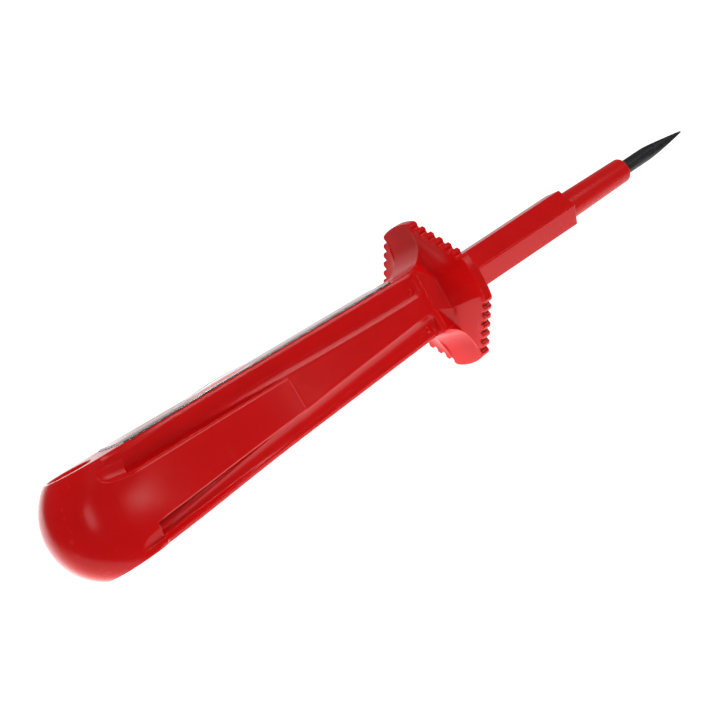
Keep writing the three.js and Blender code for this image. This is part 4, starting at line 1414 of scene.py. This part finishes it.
def tableGlow(tree, source, output, reach, inner, outer):  # falls off with distance
    off = addNode(tree, "ShaderNodeVectorMath", operation="LENGTH")
    wire(tree, source, output, off, 0)
    near, far = reach
    glow = ramp(tree, off, "Value", near * mm, far * mm, inner, outer)
    glow.interpolation_type = "SMOOTHSTEP"
    return glow


def whiteFloor():
    bpy.ops.object.select_all(action="DESELECT")
    bpy.ops.mesh.primitive_plane_add(size=stage["floorSize"])
    floor = bpy.context.object
    floor.name = "floor"
    bpy.ops.object.mode_set(mode="EDIT")
    bpy.ops.mesh.subdivide(number_cuts=3)
    bpy.ops.object.mode_set(mode="OBJECT")
    along = (Vector((1, 0, 0)) - up * up.x).normalized()
    turn = Matrix((along, up.cross(along), up)).transposed().to_4x4()
    base = at(0, 0, 0)
    base -= up * (up.dot(base) - lowestPoint() + 0.02 * mm)
    floor.matrix_world = Matrix.Translation(base) @ turn
    material, tree, shader, place = startMaterial(
        "whiteTable", Roughness=0.7, Specular_IOR_Level=0.1, Emission_Strength=1)  # a light table
    paper = addNode(tree, "ShaderNodeTexNoise", {"Scale": 300, "Detail": 3})
    wire(tree, place, "Object", paper, "Vector")
    tone = blendColour(tree, paper, 0, stage["floor"], [0.99 * c for c in stage["floor"]])
    wire(tree, tone, 2, shader, "Base Color")
    glow = tableGlow(tree, place, "Object", stage["tableReach"], *stage["glow"])
    rays = addNode(tree, "ShaderNodeLightPath")
    for x, y, stretch, near, far, strength, mirrored in stage["spots"]:
        shift = (-x * stretch * mm, -y * mm, 0)
        spot = addNode(tree, "ShaderNodeMapping", {"Scale": (stretch, 1, 0), "Location": shift})
        wire(tree, place, "Object", spot, "Vector")
        bright = tableGlow(tree, spot, "Vector", (near, far), strength, 0)
        if mirrored:
            bright = times(tree, (bright, 0), (rays, "Is Glossy Ray"))
        glow = math2(tree, "ADD", (glow, 0), (bright, 0))
    seen = addNode(tree, "ShaderNodeMix", {3: stage["white"]})
    wire(tree, rays, "Is Camera Ray", seen, 0)
    wire(tree, glow, 0, seen, 2)
    wire(tree, seen, 0, shader, "Emission Color")
    shape = addNode(tree, "ShaderNodeNewGeometry")  # seen from below, it is left clear
    clear = addNode(tree, "ShaderNodeBsdfTransparent")
    mixShaders(tree, shape, "Backfacing", shader, clear, "Material Output")
    floor.data.materials.append(material)


lights = {  # direction, distance, width, height and brightness; True shows only in reflections
    "overhead": ((0.1, -0.79, 0.6), 1.3, 0.9, 0.9, 5.8, False),
    "behindLeft": ((-0.8, 0.35, 0.45), 1.2, 0.5, 0.5, 7.0, False),
    "overCamera": ((-0.35, -0.93, 0.05), 1.0, 0.16, 0.3, 6.5, True),
    "besideCamera": ((0.372, -0.921, -0.117), 1.0, 0.05, 0.1, 18.0, True),
    "aboveCamera": ((0.51, -0.73, 0.45), 1.0, 0.24, 0.16, 9.5, True),
    "rightOfCamera": ((0.51, -0.79, 0.29), 1.0, 0.24, 0.14, 5.0, True),
}


def softBox(name, direction, distance, wide, tall, brightness, mirrored):
    lamp = bpy.data.lights.new(name, "AREA")
    lamp.shape = "RECTANGLE"
    lamp.size = wide
    lamp.size_y = tall
    lamp.energy = brightness * math.pi * wide * tall
    box = bpy.data.objects.new(name, lamp)
    bpy.context.scene.collection.objects.link(box)
    way = Vector(direction).normalized()
    box.matrix_world = Matrix.Translation(at(stage["lit"], 0, 0) + way * distance) @ facing(-way)
    box.visible_camera = False
    box.visible_glossy = mirrored
    box.visible_diffuse = not mirrored


def dimRoom():  # white behind the tool, dim as light and in its reflections
    world = bpy.data.worlds.new("studio")
    bpy.context.scene.world = world
    world.use_nodes = True
    tree = world.node_tree
    room = tree.nodes["Background"]
    room.inputs["Color"].default_value = (1, 1, 1, 1)
    white = addNode(tree, "ShaderNodeBackground", {"Color": (1, 1, 1, 1), "Strength": stage["backdrop"]})
    rays = addNode(tree, "ShaderNodeLightPath")
    wire(tree, ramp(tree, rays, "Is Glossy Ray", 0, 1, *stage["room"]), 0, room, "Strength")
    mixShaders(tree, rays, "Is Camera Ray", room, white, "World Output")


view = {
    "place": (-231.894, -342.737, 41.056),
    "right": (0.71332, -0.49072, -0.50037),
    "up": (0.48044, -0.17741, 0.8589),
    "forward": (0.51025, 0.85307, -0.10921),
    "lens": 92.87,
}


def photoCamera():
    camera = bpy.data.objects.new("camera", bpy.data.cameras.new("camera"))
    bpy.context.scene.collection.objects.link(camera)
    back = -Vector(view["forward"])
    turn = Matrix((view["right"], view["up"], back)).transposed().to_4x4()
    camera.matrix_world = Matrix.Translation(at(*view["place"])) @ turn
    camera.data.sensor_width = 36
    camera.data.lens = view["lens"]
    camera.data.clip_start = 0.01
    camera.data.clip_end = 20
    bpy.context.scene.camera = camera


whiteFloor()
for name, settings in lights.items():
    softBox(name, *settings)
dimRoom()
photoCamera()
bpy.context.scene.view_settings.view_transform = "Standard"
print("stage set")
